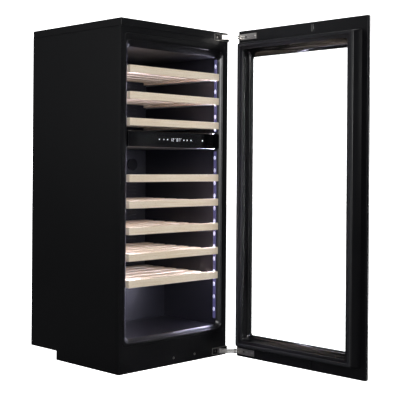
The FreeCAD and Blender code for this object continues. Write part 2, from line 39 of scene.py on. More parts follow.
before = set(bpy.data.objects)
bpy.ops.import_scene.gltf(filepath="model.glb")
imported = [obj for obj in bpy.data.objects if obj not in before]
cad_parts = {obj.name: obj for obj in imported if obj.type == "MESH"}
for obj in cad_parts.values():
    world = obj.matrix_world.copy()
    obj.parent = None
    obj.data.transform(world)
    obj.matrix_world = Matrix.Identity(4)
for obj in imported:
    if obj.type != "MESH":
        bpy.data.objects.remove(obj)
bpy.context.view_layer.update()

import math

import bmesh
import bpy
from mathutils import Matrix, Vector

MM = 0.001
WELD = 0.02 * MM
EDGE_ANGLE = 32       # degrees past which an edge is shaded sharp
ROUNDED_ANGLE = 40    # the same for pieces with rounded edges
FRAME_ANGLE = 25      # the same for the frame round the mouth
SHELVES = range(1, 9)


# ---------------------------------------------------------------- colours and settings

def linear(code):
    """An sRGB hex colour as linear red, green and blue."""
    parts = [int(code[start:start + 2], 16) / 255 for start in (1, 3, 5)]
    return tuple(c / 12.92 if c <= 0.04045 else ((c + 0.055) / 1.055) ** 2.4 for c in parts)


def colour(name, code, about):
    """A colour that a user can change."""
    return bpy.props.FloatVectorProperty(
        name=name, description=about, subtype="COLOR", size=3, min=0, max=1, default=linear(code))


def length(name, size, about):
    """A length that a user can change, given in millimetres."""
    return bpy.props.FloatProperty(
        name=name, description=about, unit="LENGTH", subtype="DISTANCE", min=0, default=size * MM)


class CoolerColours(bpy.types.PropertyGroup):
    """Colours of the finishes."""
    steel: colour("Powder coat", "#050507", "Black powder-coated steel of the casing")
    plastic: colour("Satin plastic", "#060608", "Moulded black plastic of the frames")
    liner: colour("Liner", "#101016", "Vacuum-formed polystyrene of the cavity")
    gloss: colour("Gloss plastic", "#060608", "Gloss black plastic of the controls")
    beech_light: colour("Beech", "#f6e8d3", "Light wood between the grain lines")
    beech_dark: colour("Beech grain", "#dcc4a0", "Darker grain of the beech")
    beech_fleck: colour("Beech fleck", "#b48d63", "Short ray flecks of the beech")
    nickel: colour("Nickel", "#cfccc8", "Nickel plating of the hinges")
    zinc: colour("Zinc", "#b4b8bd", "Zinc plating of the runners and rails")
    galvanised: colour("Galvanised", "#a3a8ad", "Spangled sheet of the back")
    light: colour("Light", "#e6ebff", "Cold white of the diodes")


class CoolerSizes(bpy.types.PropertyGroup):
    """Sizes of the fine detail."""
    sheet_edge: length("Sheet edge", 0.7, "Rounding of folded sheet edges")
    plastic_edge: length("Plastic edge", 1.2, "Rounding of moulded edges")
    wood_edge: length("Wood edge", 2.0, "Rounding of the shelf fascias")
    metal_edge: length("Metal edge", 0.5, "Rounding of stamped hinge parts")
    diode_pitch: length("Diode pitch", 47.5, "Distance between the diodes of a light strip")
    diode_wide: length("Diode lens", 11.0, "Width of the lens over one diode")
    screw_wide: length("Screw width", 8.0, "Width of a casing screw's head")
    light_power: bpy.props.FloatProperty(
        name="Diode power", description="Brightness of a diode", min=0, default=14.0)


def sizes():
    """The scene's sizes."""
    return bpy.context.scene.cooler_sizes


def colours():
    """The scene's colours."""
    return bpy.context.scene.cooler_colours


# ---------------------------------------------------------------- materials

def add(tree, kind, inputs=None, **settings):
    """Adds a node with its settings; an input takes a value or another node's output."""
    node = tree.nodes.new(kind)
    for name, value in settings.items():
        setattr(node, name, value)
    for key, value in (inputs or {}).items():
        if isinstance(value, bpy.types.NodeSocket):
            tree.links.new(value, node.inputs[key])
        else:
            node.inputs[key].default_value = value
    return node


def finish(name, base, roughness, **sockets):
    """A material with one Principled shader; returns it, its tree and the shader."""
    material = bpy.data.materials.new(name)
    material.use_nodes = True
    tree = material.node_tree
    tree.nodes.clear()
    shader = add(tree, "ShaderNodeBsdfPrincipled")
    shader.inputs["Base Color"].default_value = (*base, 1)
    shader.inputs["Roughness"].default_value = roughness
    for key, value in sockets.items():
        shader.inputs[key.replace("_", " ")].default_value = value
    add(tree, "ShaderNodeOutputMaterial", {"Surface": shader.outputs[0]})
    return material, tree, shader


def per(size):
    """Texture scale of a pattern whose features are that many millimetres across."""
    return 1 / (size * MM)


def shifted(base, factor):
    """A linear colour made lighter or darker."""
    return (*(min(1, part * factor) for part in base), 1)


def powder_coated_steel():
    # Baked polyester powder on steel: satin, with the faint orange peel of the melted powder.
    material, tree, shader = finish("powder_coated_steel", colours().steel, 0.42, Specular_IOR_Level=0.5)
    place = add(tree, "ShaderNodeTexCoord").outputs["Object"]
    peel = add(tree, "ShaderNodeTexNoise", {"Vector": place, "Scale": per(2.2), "Detail": 3.0})
    dust = add(tree, "ShaderNodeTexNoise", {"Vector": place, "Scale": per(160), "Detail": 4.0})
    tone = add(tree, "ShaderNodeMix", {0: dust.outputs["Fac"], 6: shifted(colours().steel, 0.85),
                                       7: shifted(colours().steel, 1.2)}, data_type="RGBA")
    rough = add(tree, "ShaderNodeMapRange", {"Value": dust.outputs["Fac"], "To Min": 0.36, "To Max": 0.47})
    bump = add(tree, "ShaderNodeBump", {"Height": peel.outputs["Fac"], "Strength": 0.35, "Distance": 0.06 * MM})
    tree.links.new(tone.outputs[2], shader.inputs["Base Color"])
    tree.links.new(rough.outputs[0], shader.inputs["Roughness"])
    tree.links.new(bump.outputs[0], shader.inputs["Normal"])
    return material


def satin_abs():
    # ABS moulded in an eroded steel tool: even satin with a fine leather-like texture.
    material, tree, shader = finish("satin_abs", colours().plastic, 0.34)
    place = add(tree, "ShaderNodeTexCoord").outputs["Object"]
    grain = add(tree, "ShaderNodeTexVoronoi", {"Vector": place, "Scale": per(1.1)}, feature="SMOOTH_F1")
    wear = add(tree, "ShaderNodeTexNoise", {"Vector": place, "Scale": per(70), "Detail": 5.0})
    tone = add(tree, "ShaderNodeMix", {0: wear.outputs["Fac"], 6: shifted(colours().plastic, 0.8),
                                       7: shifted(colours().plastic, 1.25)}, data_type="RGBA")
    rough = add(tree, "ShaderNodeMapRange", {"Value": wear.outputs["Fac"], "To Min": 0.28, "To Max": 0.42})
    bump = add(tree, "ShaderNodeBump", {"Height": grain.outputs["Distance"], "Strength": 0.25,
                                        "Distance": 0.05 * MM})
    tree.links.new(tone.outputs[2], shader.inputs["Base Color"])
    tree.links.new(rough.outputs[0], shader.inputs["Roughness"])
    tree.links.new(bump.outputs[0], shader.inputs["Normal"])
    return material


def polished_abs():
    # ABS from a polished tool: deep black with soft mirror highlights and slight flow waviness.
    material, tree, shader = finish("polished_abs", colours().gloss, 0.1, Coat_Weight=0.3, Coat_Roughness=0.05)
    place = add(tree, "ShaderNodeTexCoord").outputs["Object"]
    flow = add(tree, "ShaderNodeTexNoise", {"Vector": place, "Scale": per(45), "Detail": 2.0})
    rough = add(tree, "ShaderNodeMapRange", {"Value": flow.outputs["Fac"], "To Min": 0.06, "To Max": 0.14})
    bump = add(tree, "ShaderNodeBump", {"Height": flow.outputs["Fac"], "Strength": 0.3, "Distance": 0.4 * MM})
    tree.links.new(rough.outputs[0], shader.inputs["Roughness"])
    tree.links.new(bump.outputs[0], shader.inputs["Normal"])
    return material


def polystyrene_liner():
    # High-impact polystyrene drawn over a former: soft sheen, thinned and mottled at the corners.
    material, tree, shader = finish("polystyrene_liner", colours().liner, 0.38)
    place = add(tree, "ShaderNodeTexCoord").outputs["Object"]
    draw = add(tree, "ShaderNodeTexNoise", {"Vector": place, "Scale": per(90), "Detail": 3.0})
    grain = add(tree, "ShaderNodeTexNoise", {"Vector": place, "Scale": per(1.6), "Detail": 2.0})
    tone = add(tree, "ShaderNodeMix", {0: draw.outputs["Fac"], 6: shifted(colours().liner, 0.8),
                                       7: shifted(colours().liner, 1.2)}, data_type="RGBA")
    bump = add(tree, "ShaderNodeBump", {"Height": grain.outputs["Fac"], "Strength": 0.3, "Distance": 0.08 * MM})
    tree.links.new(tone.outputs[2], shader.inputs["Base Color"])
    tree.links.new(bump.outputs[0], shader.inputs["Normal"])
    return material


def galvanised_sheet():
    # Hot-dip galvanised steel: grey zinc crystals (spangle) of about 9 mm, each with its own gloss.
    material, tree, shader = finish("galvanised_sheet", colours().galvanised, 0.42, Metallic=1.0)
    place = add(tree, "ShaderNodeTexCoord").outputs["Object"]
    spangle = add(tree, "ShaderNodeTexVoronoi", {"Vector": place, "Scale": per(9)})
    share = add(tree, "ShaderNodeSeparateColor", {"Color": spangle.outputs["Color"]})
    tone = add(tree, "ShaderNodeMix", {0: share.outputs[0], 6: shifted(colours().galvanised, 0.72),
                                       7: shifted(colours().galvanised, 1.12)}, data_type="RGBA")
    rough = add(tree, "ShaderNodeMapRange", {"Value": share.outputs[1], "To Min": 0.32, "To Max": 0.52})
    tree.links.new(tone.outputs[2], shader.inputs["Base Color"])
    tree.links.new(rough.outputs[0], shader.inputs["Roughness"])
    return material


def beech():
    # Oiled beech: pale pinkish wood with straight close grain and short dark ray flecks along it.
    material, tree, shader = finish("oiled_beech", colours().beech_light, 0.46, Specular_IOR_Level=0.4)
    place = add(tree, "ShaderNodeTexCoord").outputs["Object"]
    along = add(tree, "ShaderNodeMapping", {"Vector": place, "Scale": (0.035, 1, 1)})
    grain = add(tree, "ShaderNodeTexNoise", {"Vector": along.outputs[0], "Scale": per(5), "Detail": 6.0,
                                             "Roughness": 0.6})
    boards = add(tree, "ShaderNodeTexNoise", {"Vector": place, "Scale": per(300), "Detail": 1.0})
    short = add(tree, "ShaderNodeMapping", {"Vector": place, "Scale": (0.22, 1, 1)})
    flecks = add(tree, "ShaderNodeTexVoronoi", {"Vector": short.outputs[0], "Scale": per(1.6)})
    seen = add(tree, "ShaderNodeMapRange", {"Value": flecks.outputs["Distance"], "From Min": 0.12,
                                            "From Max": 0.3, "To Min": 0.55, "To Max": 0.0})
    lines = add(tree, "ShaderNodeMapRange", {"Value": grain.outputs["Fac"], "From Min": 0.35, "From Max": 0.7})
    wood = add(tree, "ShaderNodeMix", {0: lines.outputs[0], 6: (*colours().beech_light, 1),
                                       7: (*colours().beech_dark, 1)}, data_type="RGBA")
    toned = add(tree, "ShaderNodeMix", {0: boards.outputs["Fac"], 6: wood.outputs[2],
                                        7: shifted(colours().beech_light, 0.93)}, data_type="RGBA")
    marked = add(tree, "ShaderNodeMix", {0: seen.outputs[0], 6: toned.outputs[2],
                                         7: (*colours().beech_fleck, 1)}, data_type="RGBA")
    bump = add(tree, "ShaderNodeBump", {"Height": grain.outputs["Fac"], "Strength": 0.3, "Distance": 0.1 * MM})
    tree.links.new(marked.outputs[2], shader.inputs["Base Color"])
    tree.links.new(bump.outputs[0], shader.inputs["Normal"])
    return material


def nickel_plated_steel():
    # Nickel over stamped steel: a warm sheen, dulled by fine handling marks.
    material, tree, shader = finish("nickel_plated_steel", colours().nickel, 0.2, Metallic=1.0)
    place = add(tree, "ShaderNodeTexCoord").outputs["Object"]
    marks = add(tree, "ShaderNodeTexNoise", {"Vector": place, "Scale": per(6), "Detail": 6.0})
    rough = add(tree, "ShaderNodeMapRange", {"Value": marks.outputs["Fac"], "To Min": 0.24, "To Max": 0.4})
    bump = add(tree, "ShaderNodeBump", {"Height": marks.outputs["Fac"], "Strength": 0.15, "Distance": 0.1 * MM})
    tree.links.new(rough.outputs[0], shader.inputs["Roughness"])
    tree.links.new(bump.outputs[0], shader.inputs["Normal"])
    return material


def zinc_plated_steel():
    # Zinc passivated steel: bluish grey with rolling lines along the strip.
    material, tree, shader = finish("zinc_plated_steel", colours().zinc, 0.34, Metallic=1.0)
    place = add(tree, "ShaderNodeTexCoord").outputs["Object"]
    along = add(tree, "ShaderNodeMapping", {"Vector": place, "Scale": (1, 0.02, 1)})
    rolled = add(tree, "ShaderNodeTexNoise", {"Vector": along.outputs[0], "Scale": per(1), "Detail": 4.0})
    rough = add(tree, "ShaderNodeMapRange", {"Value": rolled.outputs["Fac"], "To Min": 0.22, "To Max": 0.46})
    tree.links.new(rough.outputs[0], shader.inputs["Roughness"])
    return material


def clear_glass(name, tint):
    # Float glass: clear, smooth and almost colourless; lamps shine through it.
    material, tree, shader = finish(name, linear(tint), 0.0, Transmission_Weight=1.0, IOR=1.5)
    output = next(node for node in tree.nodes if node.type == "OUTPUT_MATERIAL")
    path = add(tree, "ShaderNodeLightPath")
    through = add(tree, "ShaderNodeBsdfTransparent", {"Color": (*linear(tint), 1)})
    mix = add(tree, "ShaderNodeMixShader", {0: path.outputs["Is Shadow Ray"], 1: shader.outputs[0],
                                            2: through.outputs[0]})
    tree.links.new(mix.outputs[0], output.inputs["Surface"])
    return material


def soft_pvc():
    # Plasticised PVC of a door seal: matt black, slightly dusty in its folds.
    material, tree, shader = finish("soft_pvc", linear("#17181a"), 0.58)
    place = add(tree, "ShaderNodeTexCoord").outputs["Object"]
    dust = add(tree, "ShaderNodeTexNoise", {"Vector": place, "Scale": per(14), "Detail": 5.0})
    tone = add(tree, "ShaderNodeMix", {0: dust.outputs["Fac"], 6: (*linear("#101113"), 1),
                                       7: (*linear("#232427"), 1)}, data_type="RGBA")
    tree.links.new(tone.outputs[2], shader.inputs["Base Color"])
    return material


def display_window():
    # White light through a printed mask: even, with a faint cloudiness of the diffuser.
    base = linear("#f2f5ff")
    material, tree, shader = finish("display_window", base, 0.4)
    place = add(tree, "ShaderNodeTexCoord").outputs["Object"]
    cloud = add(tree, "ShaderNodeTexNoise", {"Vector": place, "Scale": per(2)})
    glow = add(tree, "ShaderNodeMapRange", {"Value": cloud.outputs["Fac"], "To Min": 1.0, "To Max": 1.5})
    shader.inputs["Emission Color"].default_value = (*base, 1)
    tree.links.new(glow.outputs[0], shader.inputs["Emission Strength"])
    return material


def diode_lens():
    # Frosted acrylic over a cold white diode: blinding in the middle, violet and fading at the rim.
    base = colours().light
    material, tree, shader = finish("diode_lens", base, 0.35)
    heat = add(tree, "ShaderNodeAttribute", attribute_name=HEAT).outputs["Fac"]
    curve = add(tree, "ShaderNodeMath", {0: heat, 1: 0.8}, operation="POWER")
    glow = add(tree, "ShaderNodeMapRange", {"Value": curve.outputs[0], "To Min": 0.25,
                                            "To Max": sizes().light_power})
    tint = add(tree, "ShaderNodeMix", {0: heat, 6: (*linear("#8f86d8"), 1), 7: (*base, 1)}, data_type="RGBA")
    tree.links.new(tint.outputs[2], shader.inputs["Emission Color"])
    tree.links.new(glow.outputs[0], shader.inputs["Emission Strength"])
    return material


def smoked_polycarbonate():
    # Smoked polycarbonate profile with a painted violet glow: an emission that varies at random along it,
    # though the profile is no lamp.
    material, tree, shader = finish("smoked_polycarbonate", linear("#1c1b24"), 0.18)
    place = add(tree, "ShaderNodeTexCoord").outputs["Object"]
    painted_glow_noise = add(tree, "ShaderNodeTexNoise", {"Vector": place, "Scale": per(25), "Detail": 2.0})
    glow = add(tree, "ShaderNodeMapRange", {"Value": painted_glow_noise.outputs["Fac"], "To Min": 0.12, "To Max": 0.4})
    # painted glow: the violet emission colour of a profile that gives no light of its own
    shader.inputs["Emission Color"].default_value = (*linear("#8f8ad0"), 1)
    tree.links.new(glow.outputs[0], shader.inputs["Emission Strength"])
    return material


def plain(name, code, roughness, grain, depth, metallic=0.0):
    # Hidden working parts: one colour broken up by a grain of the given size in millimetres.
    material, tree, shader = finish(name, linear(code), roughness, Metallic=metallic)
    place = add(tree, "ShaderNodeTexCoord").outputs["Object"]
    noise = add(tree, "ShaderNodeTexNoise", {"Vector": place, "Scale": per(grain), "Detail": 4.0})
    tone = add(tree, "ShaderNodeMix", {0: noise.outputs["Fac"], 6: shifted(linear(code), 0.7),
                                       7: shifted(linear(code), 1.25)}, data_type="RGBA")
    bump = add(tree, "ShaderNodeBump", {"Height": noise.outputs["Fac"], "Strength": 0.4,
                                        "Distance": depth * MM})
    tree.links.new(tone.outputs[2], shader.inputs["Base Color"])
    tree.links.new(bump.outputs[0], shader.inputs["Normal"])
    return material


MAKERS = {
    "powder_coated_steel": powder_coated_steel,
    "satin_abs": satin_abs,
    "polished_abs": polished_abs,
    "polystyrene_liner": polystyrene_liner,
    "galvanised_sheet": galvanised_sheet,
    "oiled_beech": beech,
    "nickel_plated_steel": nickel_plated_steel,
    "zinc_plated_steel": zinc_plated_steel,
    "front_glass": lambda: clear_glass("front_glass", "#fdfefe"),
    "inner_glass": lambda: clear_glass("inner_glass", "#fdfefe"),
    "soft_pvc": soft_pvc,
    "diode_lens": diode_lens,
    "display_window": display_window,
    "smoked_polycarbonate": smoked_polycarbonate,
    "rigid_foam": lambda: plain("rigid_foam", "#cdb98a", 0.9, 4, 0.5),
    "moulded_pp": lambda: plain("moulded_pp", "#26282c", 0.5, 1.2, 0.05),
    "black_enamel": lambda: plain("black_enamel", "#0d0e10", 0.3, 12, 0.1),
    "plate_aluminium": lambda: plain("plate_aluminium", "#c2c6ca", 0.35, 8, 0.2, metallic=1.0),
    "active_charcoal": lambda: plain("active_charcoal", "#191a1c", 0.95, 2, 0.8),
    "board_laminate": lambda: plain("board_laminate", "#1d4a30", 0.45, 3, 0.05),
    "moulded_rubber": lambda: plain("moulded_rubber", "#141416", 0.7, 1.5, 0.05),
}


def material(name):
    """The named finish, made the first time it is asked for."""
    return bpy.data.materials.get(name) or MAKERS[name]()


# ---------------------------------------------------------------- mesh helpers

def piece_from(work, name, finish_name, smooth=EDGE_ANGLE):
    """A named object from a bmesh, smooth except at its sharp edges."""
    mesh = bpy.data.meshes.new(name)
    work.to_mesh(mesh)
    work.free()
    mesh.materials.append(material(finish_name))
    piece = bpy.data.objects.new(name, mesh)
    bpy.context.scene.collection.objects.link(piece)
    soften(piece, smooth)
    return piece


def soften(piece, smooth=EDGE_ANGLE):
    """Shades a piece smooth except across edges sharper than the angle."""
    piece.data.shade_smooth()
    piece.data.set_sharp_from_angle(angle=math.radians(smooth))


def applied(piece):
    """Turns the result of the modifiers into the piece's own mesh."""
    bpy.context.view_layer.update()
    seen = piece.evaluated_get(bpy.context.evaluated_depsgraph_get())
    mesh = bpy.data.meshes.new_from_object(seen)
    piece.modifiers.clear()
    piece.data = mesh
    mesh.name = piece.name
    return piece


def evened(piece):
    """Weighs the normals by face size, so that flat faces stay flat beside their rounded edges."""
    weigh = piece.modifiers.new("normals", "WEIGHTED_NORMAL")
    weigh.keep_sharp = True
    weigh.weight = 100
    return applied(piece)


def rounded(piece, edge, segments=2, angle=28):
    """Rounds the sharp edges."""
    bevel = piece.modifiers.new("edge", "BEVEL")
    bevel.width = edge
    bevel.segments = segments
    bevel.limit_method = "ANGLE"
    bevel.angle_limit = math.radians(angle)
    applied(piece)
    soften(piece, ROUNDED_ANGLE)
    return evened(piece)


def carved(piece, cutter):
    """Cuts one solid out of another."""
    knife = piece.modifiers.new("carve", "BOOLEAN")
    knife.operation = "DIFFERENCE"
    knife.solver = "EXACT"
    knife.object = cutter
    applied(piece)
    bpy.data.objects.remove(cutter)
    return piece


def copied(node, name, finish_name):
    """A clean, welded copy of a CAD node's mesh."""
    work = bmesh.new()
    work.from_mesh(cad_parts[node].data)
    bmesh.ops.remove_doubles(work, verts=work.verts, dist=WELD)
    bmesh.ops.dissolve_limit(work, angle_limit=math.radians(0.5), verts=work.verts, edges=work.edges)
    return piece_from(work, name, finish_name)


def mount(piece, body, slot, *nodes):
    """Hangs a piece on its body, in place of the CAD nodes that it stands for."""
    if nodes:
        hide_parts(*nodes)
    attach(piece, body)
    return piece


def refined(node, body, slot, finish_name, edge, segments=2):
    """A rounded copy of a CAD node, standing in for it."""
    piece = copied(node, node + "_finished", finish_name)
    rounded(piece, edge, segments)
    return mount(piece, body, slot, node)


def dressed(node, finish_name):
    """Gives a CAD node that keeps its shape a better material."""
    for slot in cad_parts[node].material_slots:
        slot.material = material(finish_name)


def block(work, low, high):
    """Adds a box between two corners to a bmesh."""
    middle = (Vector(low) + Vector(high)) / 2
    span = Vector(high) - Vector(low)
    place = Matrix.Translation(middle) @ Matrix.Diagonal((*span, 1))
    return bmesh.ops.create_cube(work, size=1, matrix=place)


def disc(work, centre, radius, thick, axis, steps=24, far=None):
    """Adds a cylinder or cone centred on a point, along an axis."""
    turn = Vector((0, 0, 1)).rotation_difference(Vector(axis)).to_matrix().to_4x4()
    return bmesh.ops.create_cone(
        work, cap_ends=True, segments=steps, radius1=radius, radius2=radius if far is None else far,
        depth=thick, matrix=Matrix.Translation(centre) @ turn)


def rounded_loop(low_a, high_a, low_b, high_b, radius, steps):
    """Points round a rectangle with rounded corners, anticlockwise."""
    points = []
    corners = ((high_a, high_b, 0), (low_a, high_b, 90), (low_a, low_b, 180), (high_a, low_b, 270))
    for a, b, start in corners:
        middle_a = a - radius if a == high_a else a + radius
        middle_b = b - radius if b == high_b else b + radius
        for step in range(steps + 1):
            angle = math.radians(start + 90 * step / steps)
            points.append((middle_a + radius * math.cos(angle), middle_b + radius * math.sin(angle)))
    return points


def skinned(work, stations, spot, steps=6, closed=True):
    """Skins rounded rectangles, each (low a, high a, low b, high b, radius, level), into a ring.

    spot turns (a, b, level) into a point.
    """
    loops = []
    for low_a, high_a, low_b, high_b, radius, level in stations:
        points = rounded_loop(low_a, high_a, low_b, high_b, radius, steps)
        loops.append([work.verts.new(spot(a, b, level)) for a, b in points])
    pairs = list(zip(loops, loops[1:]))
    if closed:
        pairs.append((loops[-1], loops[0]))
    for one, two in pairs:
        for here in range(len(one)):
            there = (here + 1) % len(one)
            work.faces.new((one[here], one[there], two[there], two[here]))
    bmesh.ops.recalc_face_normals(work, faces=work.faces)
    return work


# ---------------------------------------------------------------- node trees for what repeats

def new_tree(name, sockets):
    """A geometry tree with named inputs, its input node and its sockets' identifiers."""
    tree = bpy.data.node_groups.new(name, "GeometryNodeTree")
    idents = {}
    for label, kind in (("Geometry", "NodeSocketGeometry"), *sockets):
        idents[label] = tree.interface.new_socket(label, in_out="INPUT", socket_type=kind).identifier
    tree.interface.new_socket("Geometry", in_out="OUTPUT", socket_type="NodeSocketGeometry")
    return tree, add(tree, "NodeGroupInput"), idents


def finished_tree(tree, instances, source):
    """Ends a tree in real geometry with its material."""
    real = add(tree, "GeometryNodeRealizeInstances", {"Geometry": instances})
    coated = add(tree, "GeometryNodeSetMaterial", {
        "Geometry": real.outputs[0], "Material": source.outputs["Material"]})
    add(tree, "NodeGroupOutput", {0: coated.outputs[0]})


def row_tree():
    """Copies of a piece along a line."""
    tree, source, idents = new_tree("Row of pieces", (
        ("Piece", "NodeSocketObject"), ("Count", "NodeSocketInt"), ("Start", "NodeSocketVector"),
        ("Step", "NodeSocketVector"), ("Material", "NodeSocketMaterial")))
    line = add(tree, "GeometryNodeMeshLine", {
        "Count": source.outputs["Count"], "Start Location": source.outputs["Start"],
        "Offset": source.outputs["Step"]}, mode="OFFSET")
    shape = add(tree, "GeometryNodeObjectInfo", {"Object": source.outputs["Piece"]})
    copies = add(tree, "GeometryNodeInstanceOnPoints", {
        "Points": line.outputs[0], "Instance": shape.outputs["Geometry"]})
    finished_tree(tree, copies.outputs[0], source)
    return tree, idents


def scatter_tree():
    """Copies of a piece on the vertices of a mesh, each turned by its own share of a spin."""
    tree, source, idents = new_tree("Pieces at points", (
        ("Piece", "NodeSocketObject"), ("Spin axis", "NodeSocketVector"), ("Seed", "NodeSocketInt"),
        ("Material", "NodeSocketMaterial")))
    shape = add(tree, "GeometryNodeObjectInfo", {"Object": source.outputs["Piece"]})
    share = add(tree, "FunctionNodeRandomValue", {"Max": math.pi, "Seed": source.outputs["Seed"]},
                data_type="FLOAT")
    turn = add(tree, "ShaderNodeVectorMath", {0: source.outputs["Spin axis"], "Scale": share.outputs[1]},
               operation="SCALE")
    copies = add(tree, "GeometryNodeInstanceOnPoints", {
        "Points": source.outputs["Geometry"], "Instance": shape.outputs["Geometry"],
        "Rotation": turn.outputs[0]})
    finished_tree(tree, copies.outputs[0], source)
    return tree, idents


TREES = {}


def grown(name, maker, points, values):
    """Runs a tree on an object of its own and returns the result as a plain mesh piece."""
    if maker not in TREES:
        TREES[maker] = maker()
    tree, idents = TREES[maker]
    mesh = bpy.data.meshes.new(name)
    mesh.from_pydata([tuple(point) for point in points], [], [])
    piece = bpy.data.objects.new(name, mesh)
    bpy.context.scene.collection.objects.link(piece)
    modifier = piece.modifiers.new("repeat", "NODES")
    modifier.node_group = tree
    for label, value in values.items():
        modifier[idents[label]] = value
    applied(piece)
    soften(piece, ROUNDED_ANGLE)
    return piece


def row(name, shape, count, start, step, finish_name):
    """Copies of a shape in a row, as one piece."""
    piece = grown(name, row_tree, [], {"Piece": shape, "Count": count, "Start": tuple(start),
                                       "Step": tuple(step), "Material": material(finish_name)})
    bpy.data.objects.remove(shape)
    return piece


def scattered(name, shape, points, spin, seed, finish_name):
    """Copies of a shape at points, each turned by a random share of half a turn, as one piece."""
    piece = grown(name, scatter_tree, points, {"Piece": shape, "Spin axis": tuple(spin), "Seed": seed,
                                               "Material": material(finish_name)})
    bpy.data.objects.remove(shape)
    return piece


def joined(name, pieces):
    """Joins plain pieces into the first one's materials and name."""
    work = bmesh.new()
    slots = []
    for part in pieces:
        start = len(work.faces)
        work.from_mesh(part.data)
        work.faces.ensure_lookup_table()
        if part.data.materials[0] not in slots:
            slots.append(part.data.materials[0])
        for face in work.faces[start:]:
            face.material_index = slots.index(part.data.materials[0])
    mesh = bpy.data.meshes.new(name)
    work.to_mesh(mesh)
    work.free()
    for slot in slots:
        mesh.materials.append(slot)
    result = bpy.data.objects.new(name, mesh)
    bpy.context.scene.collection.objects.link(result)
    for part in pieces:
        bpy.data.objects.remove(part)
    soften(result, ROUNDED_ANGLE)
    return result


def cross_screw(wide, tall, axis):
    """A screw head with a cross recess, its seat at the origin, facing along an axis."""
    work = bmesh.new()
    steps, levels = 20, 4
    rings = []
    for level in range(levels):
        angle = math.radians(90 * level / levels)
        radius = wide / 2 * math.cos(angle)
        rings.append([work.verts.new((radius * math.cos(2 * math.pi * step / steps),
                                      radius * math.sin(2 * math.pi * step / steps),
                                      tall * (0.25 + 0.75 * math.sin(angle)))) for step in range(steps)])
    foot = [work.verts.new((v.co.x, v.co.y, 0)) for v in rings[0]]
    for one, two in zip([foot, *rings], rings):
        for step in range(steps):
            after = (step + 1) % steps
            work.faces.new((one[step], one[after], two[after], two[step]))
    work.faces.new(rings[-1])
    work.faces.new(list(reversed(foot)))
    head = piece_from(work, "screw_head", "nickel_plated_steel")
    recess = bmesh.new()
    arm, half = wide * 0.3, wide * 0.07
    block(recess, (-arm, -half, tall * 0.4), (arm, half, tall * 1.5))
    cutter = piece_from(recess, "cross_one", "nickel_plated_steel")
    carved(head, cutter)
    recess = bmesh.new()
    block(recess, (-half, -arm, tall * 0.4), (half, arm, tall * 1.5))
    cutter = piece_from(recess, "cross_two", "nickel_plated_steel")
    carved(head, cutter)
    head.data.transform(Vector((0, 0, 1)).rotation_difference(Vector(axis)).to_matrix().to_4x4())
    return head


# ---------------------------------------------------------------- the pieces

def build_casing():
    """Folded sheet casing: two sides, a top cap and a base tray."""
    edge = sizes().sheet_edge
    for node in ("side_panel_left", "side_panel_right", "base_tray"):
        refined(node, "cabinet", "black_steel", "powder_coated_steel", edge)
    refined("top_cap", "cabinet", "black_steel", "powder_coated_steel", 2 * edge, 3)
    build_cap_clips()


def build_cap_clips():
    """Small spring clips that lock the cap to the sides."""
    low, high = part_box("top_cap")
    work = bmesh.new()
    for side in (low.x, high.x):
        out = -1 if side < 0 else 1
        for share in (0.08, 0.5, 0.92):
            y = low.y + share * (high.y - low.y)
            block(work, (side - 0.2 * MM * (out > 0), y - 6 * MM, low.z - 7 * MM),
                  (side + 0.2 * MM * (out < 0), y + 6 * MM, low.z - 1 * MM))
    clips = rounded(piece_from(work, "cap_clips", "powder_coated_steel"), 0.1 * MM)
    mount(clips, "cabinet", "black_steel")


def build_back():
    """Galvanised back, its vented lower cover and their screws."""
    refined("rear_panel", "cabinet", "galvanised", "galvanised_sheet", 0.3 * MM)
    refined("bay_cover", "cabinet", "galvanised", "galvanised_sheet", 0.3 * MM)
    low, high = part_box("rear_panel")
    cover_low, cover_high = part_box("bay_cover")
    inset = 9 * MM
    spots = []
    for side in (low.x + inset, high.x - inset):
        spots += [(side, high.y, low.z + inset + step * (high.z - low.z - 2 * inset) / 4) for step in range(5)]
        spots += [(side, cover_high.y, z) for z in (cover_low.z + inset, cover_high.z - inset)]
    head = cross_screw(sizes().screw_wide, 2.2 * MM, (0, 1, 0))
    head.data.transform(Matrix.Translation((0, -2 * MM, 0)))
    screws = scattered("back_screws", head, spots, (0, 1, 0), 3, "zinc_plated_steel")
    mount(screws, "cabinet", "galvanised")


FRAME_LAND = 17 * MM
GROOVE = 0.8 * MM
FIXINGS = (-8 * MM, 100 * MM)
FIXING_LEVEL = 24 * MM
BEAD_LEVELS = (32 * MM, 84 * MM)
BEAD_RISE = 0.22 * MM    # less than the gap between the frame and the shut door's seal


